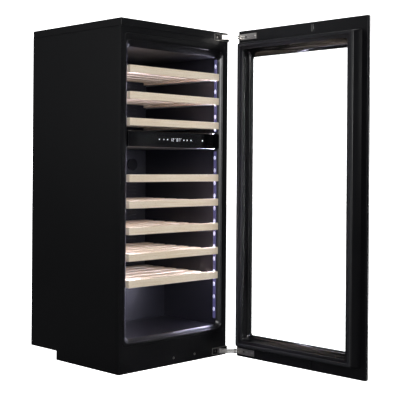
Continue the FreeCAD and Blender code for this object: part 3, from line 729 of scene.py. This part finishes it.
def build_front_frame():
    """Moulded frame round the mouth, with the land that the door's seal meets."""
    low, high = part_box("front_frame")
    outer = (low.x, high.x, low.z, high.z)
    mouth = (-241 * MM, 241 * MM, 104 * MM, 1143 * MM)
    throat = (-230 * MM, 230 * MM, 115 * MM, 1121 * MM)
    land = (low.x + FRAME_LAND, high.x - FRAME_LAND, 90 * MM, 1169 * MM)

    def between(one, two, share):
        """An outline part of the way from one to another."""
        return tuple(a + (b - a) * share for a, b in zip(one, two))

    soft = sizes().plastic_edge
    tiny = 0.3 * MM
    stations = [(*outer, tiny, high.y), (*outer, tiny, low.y + soft)]
    grown_in = [outer[0] + 0.3 * soft, outer[1] - 0.3 * soft, outer[2] + 0.3 * soft, outer[3] - 0.3 * soft]
    stations.append((*grown_in, tiny, low.y + 0.3 * soft))
    grown_in = [outer[0] + soft, outer[1] - soft, outer[2] + soft, outer[3] - soft]
    stations.append((*grown_in, tiny, low.y))
    stations.append((*land, 10 * MM, low.y))
    for share, depth in ((0.04, GROOVE), (0.1, GROOVE), (0.16, 0.0)):
        stations.append((*between(land, mouth, share), 12 * MM, low.y + depth))
    turns = 6
    for turn in range(1, turns + 1):
        angle = math.radians(90 * turn / turns)
        share = 0.45 + 0.55 * math.sin(angle)
        stations.append((*between(land, mouth, share), 20 * MM, low.y + 4 * MM * (1 - math.cos(angle))))
    stations.append((*between(mouth, throat, 0.55), 20 * MM, low.y + 8 * MM))
    stations.append((*throat, 20 * MM, high.y))
    work = skinned(bmesh.new(), stations, lambda a, b, level: (a, level, b), steps=8)
    frame_piece = piece_from(work, "front_frame_finished", "satin_abs", FRAME_ANGLE)
    for x in FIXINGS:
        hole = bmesh.new()
        disc(hole, (x, (low.y + high.y) / 2, FIXING_LEVEL), 2.25 * MM, 30 * MM, (0, 1, 0))
        carved(frame_piece, piece_from(hole, "fixing_hole", "satin_abs"))
    soften(frame_piece, FRAME_ANGLE)
    evened(frame_piece)
    mount(frame_piece, "cabinet", "black_plastic", "front_frame")
    work = bmesh.new()
    for z in BEAD_LEVELS:
        block(work, (low.x + 2 * MM, low.y - BEAD_RISE, z - 0.6 * MM),
              (high.x - 2 * MM, low.y, z + 0.6 * MM))
    beads = rounded(piece_from(work, "plinth_beads", "satin_abs"), 0.25 * MM)
    mount(beads, "cabinet", "black_plastic")
    work = bmesh.new()
    for x in FIXINGS:
        add_torus(work, (x, low.y, FIXING_LEVEL), 3.3 * MM, 1.0 * MM, (0, 1, 0), 24)
    mount(piece_from(work, "fixing_eyelets", "nickel_plated_steel"), "cabinet", "zinc_steel")


def build_cavity():
    """Lining, the divider between the zones and the duct covers with their fan mouths."""
    refined("liner", "cabinet", "liner_plastic", "polystyrene_liner", 0.4 * MM)
    refined("zone_divider", "cabinet", "foam", "polystyrene_liner", 2 * MM, 3)
    for zone in ("upper", "lower"):
        build_duct(zone)


FAN_MOUTH = 49 * MM


def build_duct(zone):
    """A duct cover, a ring guard over its fan and rows of louvres."""
    node = f"duct_cover_{zone}"
    refined(node, "cabinet", "duct_plastic", "moulded_pp", 0.6 * MM)
    low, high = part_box(node)
    fan_low, fan_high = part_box(f"fan_{zone}")
    centre = Vector(((fan_low.x + fan_high.x) / 2, low.y - 1.5 * MM, (fan_low.z + fan_high.z) / 2))
    work = bmesh.new()
    for ring in range(4):
        radius = FAN_MOUTH * (0.28 + 0.25 * ring)
        add_torus(work, centre, radius, 1.3 * MM, (0, 1, 0))
    rings = piece_from(work, f"fan_guard_rings_{zone}", "moulded_pp")
    work = bmesh.new()
    block(work, (0.2 * FAN_MOUTH, -1 * MM, -1 * MM), (1.06 * FAN_MOUTH, 1 * MM, 1 * MM))
    spokes = []
    spoke = piece_from(work, "spoke", "moulded_pp")
    for turn in range(8):
        arm = spoke.copy()
        arm.data = spoke.data.copy()
        arm.data.transform(Matrix.Translation(centre) @ Matrix.Rotation(math.radians(45 * turn), 4, "Y"))
        bpy.context.scene.collection.objects.link(arm)
        spokes.append(arm)
    bpy.data.objects.remove(spoke)
    mount(joined(f"fan_guard_{zone}", [rings, *spokes]), "cabinet", "duct_plastic")
    work = bmesh.new()
    block(work, (-26 * MM, -2.2 * MM, 0), (26 * MM, 0, 3 * MM))
    hood = rounded(piece_from(work, "hood", "moulded_pp"), 0.9 * MM)
    rows = []
    for column, x in enumerate((-150 * MM, 150 * MM)):
        copy = hood.copy()
        copy.data = hood.data.copy()
        bpy.context.scene.collection.objects.link(copy)
        count = int((high.z - low.z - 60 * MM) // (14 * MM))
        rows.append(row(f"louvres_{column}", copy, count, (x, low.y, low.z + 30 * MM), (0, 0, 14 * MM),
                        "moulded_pp"))
    bpy.data.objects.remove(hood)
    mount(joined(f"duct_louvres_{zone}", rows), "cabinet", "duct_plastic")


def add_torus(work, centre, radius, thick, axis, steps=40, sides=8):
    """Adds a ring of round wire to a bmesh."""
    turn = Vector((0, 0, 1)).rotation_difference(Vector(axis)).to_matrix()
    loops = []
    for step in range(steps):
        angle = 2 * math.pi * step / steps
        out = Vector((math.cos(angle), math.sin(angle), 0))
        loop = []
        for side in range(sides):
            lean = 2 * math.pi * side / sides
            point = out * (radius + thick * math.cos(lean)) + Vector((0, 0, thick * math.sin(lean)))
            loop.append(work.verts.new(Vector(centre) + turn @ point))
        loops.append(loop)
    for one, two in zip(loops, loops[1:] + loops[:1]):
        for side in range(sides):
            after = (side + 1) % sides
            work.faces.new((one[side], two[side], two[after], one[after]))


SEGMENTS = {
    "top": (0.5, 1.0, True), "middle": (0.5, 0.5, True), "bottom": (0.5, 0.0, True),
    "left_high": (0.0, 0.75, False), "left_low": (0.0, 0.25, False),
    "right_high": (1.0, 0.75, False), "right_low": (1.0, 0.25, False)}
LIT = {"0": "top bottom left_high left_low right_high right_low", "1": "right_high right_low",
       "2": "top middle bottom right_high left_low", "7": "top right_high right_low"}


def build_controls():
    """Gloss control strip with a lit temperature for each zone and touch marks."""
    refined("control_fascia", "cabinet", "gloss_black", "polished_abs", 1.5 * MM, 3)
    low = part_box("control_fascia")[0]
    face = low.y - 0.12 * MM
    level = low.z + 29 * MM
    work = bmesh.new()
    wide, tall, stroke = 5.4 * MM, 9.5 * MM, 0.9 * MM
    for start, digit in zip((-27 * MM, -17 * MM, 4 * MM, 14 * MM), "1207"):
        for part in LIT[digit].split():
            across, up, flat = SEGMENTS[part]
            x, z = start + across * wide, level - tall / 2 + up * tall
            half = (wide * 0.42, stroke / 2) if flat else (stroke / 2, tall * 0.2)
            block(work, (x - half[0], face, z - half[1]), (x + half[0], low.y + 0.2 * MM, z + half[1]))
    for x in (-5 * MM, 25 * MM):
        disc(work, (x, face + 0.1 * MM, level + tall / 2), 0.9 * MM, 0.3 * MM, (0, 1, 0), 12)
    for x, radius in ((-83 * MM, 1.9 * MM), (-61 * MM, 1.5 * MM), (77 * MM, 1.9 * MM), (138 * MM, 2.4 * MM)):
        disc(work, (x, face + 0.1 * MM, level), radius, 0.3 * MM, (0, 1, 0), 20)
    for x, point in ((-42 * MM, -1), (40 * MM, 1), (57 * MM, -1)):
        corners = [(x - 2.6 * MM, level - point * 1.8 * MM), (x + 2.6 * MM, level - point * 1.8 * MM),
                   (x, level + point * 2.6 * MM)]
        rim = [work.verts.new((a, face, b)) for a, b in corners]
        back = [work.verts.new((a, low.y + 0.2 * MM, b)) for a, b in corners]
        work.faces.new(rim)
        work.faces.new(list(reversed(back)))
        for here in range(3):
            there = (here + 1) % 3
            work.faces.new((rim[here], back[here], back[there], rim[there]))
    bmesh.ops.recalc_face_normals(work, faces=work.faces)
    mount(piece_from(work, "control_display", "display_window"), "cabinet", "gloss_black")


HEAT = "heat"
LOWER_STRIP_TOP = 768 * MM
UPPER_STRIP_FOOT = 841 * MM
LOWER_START = 34 * MM    # from a strip's foot to its first diode
UPPER_START = 9 * MM
STRIP_MARGIN = 9 * MM    # kept free at a strip's head
STRIP_THICK = 4 * MM


def diode(facing):
    """A domed oval lens, hottest in its middle, facing along X."""
    work = bmesh.new()
    heat = work.verts.layers.float.new(HEAT)
    steps, rings = 20, 6
    wide = sizes().diode_wide / 2
    tall, rise = 1.5 * wide, 0.3 * wide
    loops = []
    for ring in range(1, rings + 1):
        share = ring / rings
        loop = []
        for step in range(steps):
            angle = 2 * math.pi * step / steps
            vert = work.verts.new((facing * rise * math.sqrt(1 - share * share),
                                   wide * share * math.cos(angle), tall * share * math.sin(angle)))
            vert[heat] = 1 - share
            loop.append(vert)
        loops.append(loop)
    top = work.verts.new((facing * rise, 0, 0))
    top[heat] = 1
    for step in range(steps):
        after = (step + 1) % steps
        work.faces.new((top, loops[0][step], loops[0][after]))
        for one, two in zip(loops, loops[1:]):
            work.faces.new((one[step], two[step], two[after], one[after]))
    work.faces.new(loops[-1])
    bmesh.ops.recalc_face_normals(work, faces=work.faces)
    return piece_from(work, "diode", "diode_lens")


def build_lights():
    """Light strips: smoked profiles with a diode every few centimetres."""
    refined("light_strips", "cabinet", "led_strip", "smoked_polycarbonate", 1.0 * MM, 3)
    low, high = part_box("light_strips")
    pitch = sizes().diode_pitch
    zones = ((low.z, LOWER_STRIP_TOP, LOWER_START), (UPPER_STRIP_FOOT, high.z, UPPER_START))
    rows = []
    for side, out in ((low.x, 1), (high.x, -1)):
        inner = side + out * STRIP_THICK
        for foot, head, first in zones:
            count = int((head - foot - first - STRIP_MARGIN) // pitch) + 1
            start = foot + first
            rows.append(row("diodes", diode(out), count, (inner, (low.y + high.y) / 2, start),
                            (0, 0, pitch), "diode_lens"))
    mount(joined("diodes_all", rows), "cabinet", "led_strip")


def build_shelves():
    """Beech-fronted slatted shelves on their runners, with the rails they slide in."""
    for number in SHELVES:
        body = f"shelf_{number}"
        refined(f"{body}_fascia", body, "beech", "oiled_beech", sizes().wood_edge, 3)
        refined(f"{body}_deck", body, "beech", "oiled_beech", 1.0 * MM)
        refined(f"{body}_runners", body, "zinc_steel", "zinc_plated_steel", 0.6 * MM)
        build_pegs(number)
    refined("shelf_rails", "cabinet", "zinc_steel", "zinc_plated_steel", 0.4 * MM)


def build_pegs(number):
    """Countersunk screws that hold the slats to their battens."""
    body = f"shelf_{number}"
    low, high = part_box(f"{body}_deck")
    slat, slats = 42 * MM, 6
    spots = []
    for step in range(slats):
        y = low.y + slat / 2 + step * (high.y - low.y - slat) / (slats - 1)
        for x in (low.x + 10 * MM, high.x - 10 * MM):
            spots += [(x, y - 10 * MM, high.z), (x, y + 10 * MM, high.z)]
    head = cross_screw(6 * MM, 0.5 * MM, (0, 0, 1))
    screws = scattered(f"{body}_screws", head, spots, (0, 0, 1), number, "zinc_plated_steel")
    mount(screws, body, "zinc_steel")


def build_door():
    """Door slab: black carrier, front pane, inner pane, moulded inner frame and seal."""
    refined("door_carrier", "door", "door_plastic", "satin_abs", 0.6 * MM)
    refined("door_glass", "door", "tinted_glass", "front_glass", 0.6 * MM)
    refined("inner_glass", "door", "clear_glass", "inner_glass", 0.4 * MM)
    build_inner_frame()
    build_gasket()
    slab_low, slab_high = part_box("door_carrier")
    work = bmesh.new()
    for foot in (slab_low.z + 8 * MM, slab_high.z - 34 * MM):
        block(work, (slab_low.x - 1.6 * MM, -646 * MM, foot), (slab_low.x, -634 * MM, foot + 26 * MM))
    clips = rounded(piece_from(work, "margin_clips", "polished_abs"), 0.7 * MM, 3)
    mount(clips, "door", "door_plastic")


def build_inner_frame():
    """Satin ridge that carries the seal, then a hollow moulding that falls to the glass."""
    low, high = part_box("door_inner_frame")
    slab_low, slab_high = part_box("door_carrier")
    ridge_x, base_x = low.x, high.x

    def outline_at(side, foot, head, radius, x):
        """An outline by its insets from the slab's edges."""
        return (slab_low.y + side * MM, slab_high.y - side * MM, slab_low.z + foot * MM,
                slab_high.z - head * MM, radius * MM, x)

    stations = [outline_at(22, 38, 43, 4, base_x), outline_at(29, 45, 50, 6, ridge_x + 4 * MM)]
    for turn in range(4):
        angle = math.radians(90 * turn / 3)
        inset = 3 * (1 - math.cos(angle))
        stations.append(outline_at(29.4 + inset, 45.4 + inset, 50.4 + inset, 7,
                                   ridge_x + 3 * MM * (1 - math.sin(angle))))
    for turn in range(4):
        angle = math.radians(90 * turn / 3)
        inset = 2.5 * math.sin(angle)
        stations.append(outline_at(51.5 + inset, 67.5 + inset, 72.5 + inset, 8,
                                   ridge_x + 2.5 * MM * (1 - math.cos(angle))))
    stations.append(outline_at(54.4, 70.4, 75.4, 8, ridge_x + 7 * MM))
    hollow = 8
    for turn in range(1, hollow + 1):
        angle = math.radians(90 * turn / hollow)
        fall = math.sin(angle)
        run = 1 - math.cos(angle)
        stations.append(outline_at(54.6 + 9.4 * run, 70.6 + 15.4 * run, 75.6 + 25.4 * run, 8,
                                   ridge_x + 7 * MM + (base_x - 4 * MM - ridge_x - 7 * MM) * fall))
    stations.append(outline_at(60, 82, 97, 6, base_x - 4 * MM))
    stations.append(outline_at(60, 82, 97, 6, base_x))
    work = skinned(bmesh.new(), stations, lambda a, b, level: (level, a, b))
    piece = piece_from(work, "door_inner_frame_finished", "satin_abs", 34)
    piece.data.materials.append(material("polished_abs"))
    inner_start = slab_low.y + 54.3 * MM
    inner_end = slab_high.y - 54.3 * MM
    for face in piece.data.polygons:
        centre = face.center
        if centre.x > ridge_x + 2 * MM and inner_start < centre.y < inner_end:
            if slab_low.z + 70 * MM < centre.z < slab_high.z - 75 * MM:
                face.material_index = 1
    mount(piece, "door", "door_plastic", "door_inner_frame")


def build_gasket():
    """Magnetic seal: a flat foot, a folded bellows and a pillow that holds the magnet."""
    low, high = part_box("door_gasket")
    wide = 12 * MM

    def outline_at(inset, x):
        """An outline by its inset from the seal's outside."""
        return (low.y + inset, high.y - inset, low.z + inset, high.z - inset, 5 * MM, x)

    tall = high.x - low.x
    section = [(0.5, 0.0), (0.04, 0.12), (0.0, 0.3), (0.1, 0.42), (0.22, 0.48), (0.22, 0.56), (0.06, 0.64),
               (0.02, 0.78), (0.1, 0.93), (0.28, 1.0), (0.5, 0.95), (0.72, 1.0), (0.9, 0.93), (0.98, 0.78),
               (0.94, 0.64), (0.78, 0.56), (0.78, 0.48), (0.9, 0.42), (1.0, 0.3), (0.96, 0.12)]
    stations = [outline_at(wide * across, high.x - tall * up) for across, up in section]
    work = skinned(bmesh.new(), stations, lambda a, b, level: (level, a, b), steps=5)
    mount(piece_from(work, "door_gasket_finished", "soft_pvc", 50), "door", "gasket_rubber", "door_gasket")


def build_hinges():
    """Nickel-plated hinges: cabinet plates with pins, riveted links, door brackets and screws."""
    edge = sizes().metal_edge
    refined("hinge_plates", "cabinet", "hinge_nickel", "nickel_plated_steel", edge)
    refined("hinge_brackets", "door", "hinge_nickel", "nickel_plated_steel", edge)
    for level in ("lower", "upper"):
        build_link(level)
    build_plate_shade_fills()
    for node, body in (("plate_screws", "cabinet"), ("bracket_screws", "door")):
        build_hinge_screws(node, body)


LINK_PIN = (225.5 * MM, -262 * MM)
LINK_RADIUS = 4.8 * MM
LINK_INSET = 0.6 * MM


def build_link(level):
    """A link: the flat middle bar, a strap above and one below, and a rivet through each end."""
    node = f"hinge_link_{level}"
    bar = copied(node, node + "_bar", "nickel_plated_steel")
    low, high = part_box(node)
    middle = (low.z + high.z) / 2
    pin = Vector((*LINK_PIN, middle))
    radius = LINK_RADIUS
    tip = Vector((high.x - radius - LINK_INSET, low.y + radius, middle))
    work = bmesh.new()
    for out in (-1, 1):
        strap(work, pin, tip, radius, middle + out * 5.7 * MM, middle + out * 7.9 * MM)
        for centre in (pin, tip):
            spot = Vector((centre.x, centre.y, middle + out * 8.6 * MM))
            disc(work, spot, 3.6 * MM, 1.4 * MM, (0, 0, out), 20, far=2.6 * MM)
    straps = piece_from(work, node + "_straps", "nickel_plated_steel")
    link = joined(node + "_finished", [bar, straps])
    rounded(link, sizes().metal_edge * 0.7)
    mount(link, f"link_{level}", "hinge_nickel", node)


def strap(work, start, end, radius, low, high):
    """Adds a flat bar with round ends between two points."""
    low, high = sorted((low, high))
    along = (end - start).normalized()
    heading = math.atan2(along.y, along.x)
    steps = 10
    rim = []
    for centre, first in ((end, -90), (start, 90)):
        for step in range(steps + 1):
            angle = heading + math.radians(first + 180 * step / steps)
            rim.append((centre.x + radius * math.cos(angle), centre.y + radius * math.sin(angle)))
    floor = [work.verts.new((x, y, low)) for x, y in rim]
    roof = [work.verts.new((x, y, high)) for x, y in rim]
    work.faces.new(roof)
    work.faces.new(list(reversed(floor)))
    for here in range(len(rim)):
        there = (here + 1) % len(rim)
        work.faces.new((floor[here], floor[there], roof[there], roof[here]))


def build_plate_shade_fills():
    """Black fills in the cabinet plates' channels between their bright rims: painted shade, standing in for the
    shade inside the channels.
    """
    low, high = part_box("hinge_plates")
    work = bmesh.new()
    rim, tall, lip = 1.2 * MM, 25 * MM, 2.8 * MM
    screw_inset = 12.16 * MM
    holes = bmesh.new()
    for foot in (low.z, high.z - tall):
        for start, end in ((low.x + rim, low.x + 22 * MM), (low.x + 42 * MM, high.x - rim)):
            block(work, (start, high.y - 7.4 * MM, foot + lip),
                  (end, high.y - 2.5 * MM, foot + tall - lip))
        for x in (low.x + screw_inset, high.x - screw_inset):
            disc(holes, (x, high.y - 5 * MM, foot + tall / 2), 4.6 * MM, 12 * MM, (0, 1, 0), 24)
    # painted shade: black pieces put where the channels are only in shade
    covers = piece_from(work, "hinge_covers", "satin_abs")
    carved(covers, piece_from(holes, "screw_openings", "satin_abs"))
    rounded(covers, 0.5 * MM)
    mount(covers, "cabinet", "black_plastic")


def build_hinge_screws(node, body):
    """Cross-head screws where the CAD has plain heads."""
    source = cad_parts[node]
    work = bmesh.new()
    work.from_mesh(source.data)
    bmesh.ops.remove_doubles(work, verts=work.verts, dist=WELD)
    along = 1 if body == "cabinet" else 0
    seats, seen = [], set()
    for vert in work.verts:
        if vert in seen:
            continue
        island, queue = [], [vert]
        seen.add(vert)
        while queue:
            here = queue.pop()
            island.append(here.co.copy())
            for edge in here.link_edges:
                other = edge.other_vert(here)
                if other not in seen:
                    seen.add(other)
                    queue.append(other)
        low = Vector([min(point[axis] for point in island) for axis in range(3)])
        high = Vector([max(point[axis] for point in island) for axis in range(3)])
        seat = (low + high) / 2
        seat[along] = high[along]
        seats.append((seat, high[2] - low[2], high[along] - low[along]))
    work.free()
    facing = (0, -1, 0) if along == 1 else (-1, 0, 0)
    wide, tall = seats[0][1], seats[0][2]
    head = cross_screw(wide, tall, facing)
    piece = scattered(node + "_finished", head, [seat for seat, *_ in seats], facing, 5,
                      "nickel_plated_steel")
    mount(piece, body, "hinge_nickel", node)


def build_machinery():
    """Cold side and machine bay: fans, coils, filter, compressor, condenser and their fittings."""
    finishes = {
        "insulation": "rigid_foam", "evaporators": "plate_aluminium",
        "condenser": "plate_aluminium", "drip_tray": "moulded_pp", "control_board": "board_laminate",
        "charcoal_filter": "active_charcoal", "cord_gland": "moulded_rubber", "compressor": "black_enamel"}
    for node, finish_name in finishes.items():
        dressed(node, finish_name)
    fans = (("fan_upper", "circulation_fan_upper"), ("fan_lower", "circulation_fan_lower"),
            ("condenser_fan", "cooling_fan"))
    for node, body in fans:
        refined(node, body, "fan_plastic", "moulded_pp", 0.4 * MM)


CAMERA_SPOT = (-2.350, -2.606, 0.711)
CAMERA_YAW = 43.9
CAMERA_ROLL = 0.41
STRIP_WATTS = 3.5   # for each metre of strip
STRIP_TURN = 70     # degrees from straight back towards the opposite wall
LENS_MM = 83.47
LENS_SHIFT = (0.10, -0.085)
FLOOR_RADIUS = 14
FLOOR_GLOW = 1.7
DIM_WORLD, BRIGHT_WORLD = 0.1, 2.2


def straight_sight(tree):
    """A node that is 1 for what the lens sees directly or through clear panes, and 0 for bounced light."""
    path = add(tree, "ShaderNodeLightPath")
    bounces = add(tree, "ShaderNodeMath", {0: path.outputs["Glossy Depth"], 1: path.outputs["Diffuse Depth"]})
    direct = add(tree, "ShaderNodeMath", {0: bounces.outputs[0], 1: 0.5}, operation="LESS_THAN")
    sight = add(tree, "ShaderNodeMath", {
        0: path.outputs["Is Camera Ray"], 1: path.outputs["Is Transmission Ray"]}, operation="MAXIMUM")
    return add(tree, "ShaderNodeMath", {0: sight.outputs[0], 1: direct.outputs[0]}, operation="MULTIPLY")


def build_stage():
    """Pale floor, soft lights, lights inside the cavity and the camera."""
    scene = bpy.context.scene
    work = bmesh.new()
    bmesh.ops.create_circle(work, cap_ends=True, segments=96, radius=FLOOR_RADIUS)
    floor_finish, tree, shader = finish("pale_studio_floor", linear("#e6e6e6"), 0.8)
    place = add(tree, "ShaderNodeTexCoord").outputs["Object"]
    mottle = add(tree, "ShaderNodeTexNoise", {"Vector": place, "Scale": 3.0})
    tone = add(tree, "ShaderNodeMix", {0: mottle.outputs["Fac"], 6: (*linear("#e2e2e2"), 1),
                                       7: (*linear("#eaeaea"), 1)}, data_type="RGBA")
    seen = straight_sight(tree)
    glow = add(tree, "ShaderNodeMath", {0: seen.outputs[0], 1: FLOOR_GLOW}, operation="MULTIPLY")
    shader.inputs["Emission Color"].default_value = (1, 1, 1, 1)
    shade = add(tree, "ShaderNodeMix", {0: seen.outputs[0], 6: (*linear("#4c4c4e"), 1), 7: tone.outputs[2]},
                data_type="RGBA")
    tree.links.new(shade.outputs[2], shader.inputs["Base Color"])
    tree.links.new(glow.outputs[0], shader.inputs["Emission Strength"])
    # White to the lens and through the panes, dark to the light that bounces up at the cooler.
    mesh = bpy.data.meshes.new("studio_floor")
    work.to_mesh(mesh)
    work.free()
    mesh.materials.append(floor_finish)
    floor = bpy.data.objects.new("studio_floor", mesh)
    scene.collection.objects.link(floor)

    world = bpy.data.worlds.new("studio")
    world.use_nodes = True
    tree = world.node_tree
    tree.nodes.clear()
    seen = straight_sight(tree)
    dim = add(tree, "ShaderNodeBackground", {"Color": (0.9, 0.92, 1, 1), "Strength": DIM_WORLD})
    bright = add(tree, "ShaderNodeBackground", {"Color": (1, 1, 1, 1), "Strength": BRIGHT_WORLD})
    mix = add(tree, "ShaderNodeMixShader", {0: seen.outputs[0], 1: dim.outputs[0], 2: bright.outputs[0]})
    add(tree, "ShaderNodeOutputWorld", {"Surface": mix.outputs[0]})
    scene.world = world
    scene.view_settings.view_transform = "Standard"

    lamp("key", (-2.1, -3.8, 1.6), (0, -0.2, 0.6), 0.6, 0.6, 95)
    lamp("left", (-3.4, 2.4, 1.6), (0, -0.3, 0.7), 0.6, 2.2, 4)
    lamp("edge", (-2.2, -3.6, 0.9), (0.27, -0.6, 0.65), 0.06, 2.2, 12)
    lamp("back", (0.6, 4.2, 1.6), (0, 0.3, 0.6), 1.0, 1.5, 45)
    lamp("overhead", (0, -0.4, 4.0), (0, 0, 0), 3.0, 3.0, 55)
    for side in (-1, 1):
        for low, high in ((139 * MM, LOWER_STRIP_TOP), (UPPER_STRIP_FOOT, 1113 * MM)):
            strip_lamp(side, low, high)

    lens = bpy.data.cameras.new("camera")
    lens.sensor_width = 36
    lens.lens = LENS_MM
    lens.shift_x, lens.shift_y = LENS_SHIFT
    camera = bpy.data.objects.new("camera", lens)
    scene.collection.objects.link(camera)
    turn = (Matrix.Rotation(math.radians(-CAMERA_YAW), 4, "Z") @ Matrix.Rotation(math.radians(90), 4, "X")
            @ Matrix.Rotation(math.radians(CAMERA_ROLL), 4, "Z"))
    camera.matrix_world = Matrix.Translation(CAMERA_SPOT) @ turn
    scene.camera = camera


def aimed(name, data, spot, target):
    """Places a lamp at a spot, looking at a target."""
    lamp_object = bpy.data.objects.new(name, data)
    bpy.context.scene.collection.objects.link(lamp_object)
    aim = (Vector(target) - Vector(spot)).to_track_quat("-Z", "Y").to_matrix().to_4x4()
    lamp_object.matrix_world = Matrix.Translation(spot) @ aim
    return lamp_object


def lamp(name, spot, target, wide, tall, power):
    """A soft rectangular studio lamp."""
    data = bpy.data.lights.new(name, "AREA")
    data.shape = "RECTANGLE"
    data.size = wide
    data.size_y = tall
    data.energy = power
    return aimed(name, data, spot, target)


def strip_lamp(side, low, high):
    """The sum of a strip's diodes as one narrow lamp facing into the cavity."""
    data = bpy.data.lights.new("strip_glow", "AREA")
    data.shape = "RECTANGLE"
    data.size = 6 * MM
    data.size_y = high - low
    data.energy = STRIP_WATTS * (high - low)
    data.color = linear("#e2e0ff")
    spot = (side * 223 * MM, -227 * MM, (low + high) / 2)
    turned = aimed("strip_glow", data, spot, (0, 0, 0))
    turn = Matrix.Rotation(math.radians(side * STRIP_TURN), 4, "Z") @ Matrix.Rotation(math.radians(90), 4, "X")
    turned.matrix_world = Matrix.Translation(spot) @ turn
    turned.visible_camera = False
    return turned


# ---------------------------------------------------------------- operators and panel

class COOLER_OT_stage(bpy.types.Operator):
    """Makes the floor, the lights and the camera"""
    bl_idname = "cooler.stage"
    bl_label = "Stage"

    def execute(self, context):
        build_stage()
        return {"FINISHED"}


class COOLER_OT_casing(bpy.types.Operator):
    """Makes the steel casing"""
    bl_idname = "cooler.casing"
    bl_label = "Casing"

    def execute(self, context):
        build_casing()
        return {"FINISHED"}


class COOLER_OT_back(bpy.types.Operator):
    """Makes the galvanised back and its screws"""
    bl_idname = "cooler.back"
    bl_label = "Back"

    def execute(self, context):
        build_back()
        return {"FINISHED"}


class COOLER_OT_front_frame(bpy.types.Operator):
    """Makes the frame round the mouth"""
    bl_idname = "cooler.front_frame"
    bl_label = "Front frame"

    def execute(self, context):
        build_front_frame()
        return {"FINISHED"}


class COOLER_OT_cavity(bpy.types.Operator):
    """Makes the lining, the divider and the ducts"""
    bl_idname = "cooler.cavity"
    bl_label = "Cavity"

    def execute(self, context):
        build_cavity()
        return {"FINISHED"}


class COOLER_OT_controls(bpy.types.Operator):
    """Makes the control strip and its display"""
    bl_idname = "cooler.controls"
    bl_label = "Controls"

    def execute(self, context):
        build_controls()
        return {"FINISHED"}


class COOLER_OT_lights(bpy.types.Operator):
    """Makes the light strips and their diodes"""
    bl_idname = "cooler.lights"
    bl_label = "Light strips"

    def execute(self, context):
        build_lights()
        return {"FINISHED"}


class COOLER_OT_shelves(bpy.types.Operator):
    """Makes the shelves, runners and rails"""
    bl_idname = "cooler.shelves"
    bl_label = "Shelves"

    def execute(self, context):
        build_shelves()
        return {"FINISHED"}


class COOLER_OT_door(bpy.types.Operator):
    """Makes the door's panes, frames and seal"""
    bl_idname = "cooler.door"
    bl_label = "Door"

    def execute(self, context):
        build_door()
        return {"FINISHED"}


class COOLER_OT_hinges(bpy.types.Operator):
    """Makes the hinges and their screws"""
    bl_idname = "cooler.hinges"
    bl_label = "Hinges"

    def execute(self, context):
        build_hinges()
        return {"FINISHED"}


class COOLER_OT_machinery(bpy.types.Operator):
    """Makes the fans, coils and machine bay"""
    bl_idname = "cooler.machinery"
    bl_label = "Machinery"

    def execute(self, context):
        build_machinery()
        return {"FINISHED"}


OPERATORS = (
    COOLER_OT_stage, COOLER_OT_casing, COOLER_OT_back, COOLER_OT_front_frame,
    COOLER_OT_cavity, COOLER_OT_controls, COOLER_OT_lights, COOLER_OT_shelves,
    COOLER_OT_door, COOLER_OT_hinges, COOLER_OT_machinery)


class COOLER_PT_parts(bpy.types.Panel):
    """Lists the pieces of the cooler."""
    bl_label = "Wine Cooler"
    bl_idname = "COOLER_PT_parts"
    bl_space_type = "VIEW_3D"
    bl_region_type = "UI"
    bl_category = "Cooler"

    def draw(self, context):
        for kind in OPERATORS:
            self.layout.operator(kind.bl_idname)
        for group in (context.scene.cooler_sizes, context.scene.cooler_colours):
            for name in type(group).__annotations__:
                self.layout.prop(group, name)


CLASSES = [CoolerColours, CoolerSizes, *OPERATORS, COOLER_PT_parts]


def register():
    """Adds the classes and the scene's settings."""
    for kind in CLASSES:
        bpy.utils.register_class(kind)
    bpy.types.Scene.cooler_colours = bpy.props.PointerProperty(type=CoolerColours)
    bpy.types.Scene.cooler_sizes = bpy.props.PointerProperty(type=CoolerSizes)


def unregister():
    """Removes them again."""
    del bpy.types.Scene.cooler_sizes
    del bpy.types.Scene.cooler_colours
    for kind in reversed(CLASSES):
        bpy.utils.unregister_class(kind)


def main():
    """Makes every piece and the stage."""
    register()
    bpy.ops.cooler.stage()
    bpy.ops.cooler.casing()
    bpy.ops.cooler.back()
    bpy.ops.cooler.front_frame()
    bpy.ops.cooler.cavity()
    bpy.ops.cooler.controls()
    bpy.ops.cooler.lights()
    bpy.ops.cooler.shelves()
    bpy.ops.cooler.door()
    bpy.ops.cooler.hinges()
    bpy.ops.cooler.machinery()


if __name__ == "__main__":
    main()
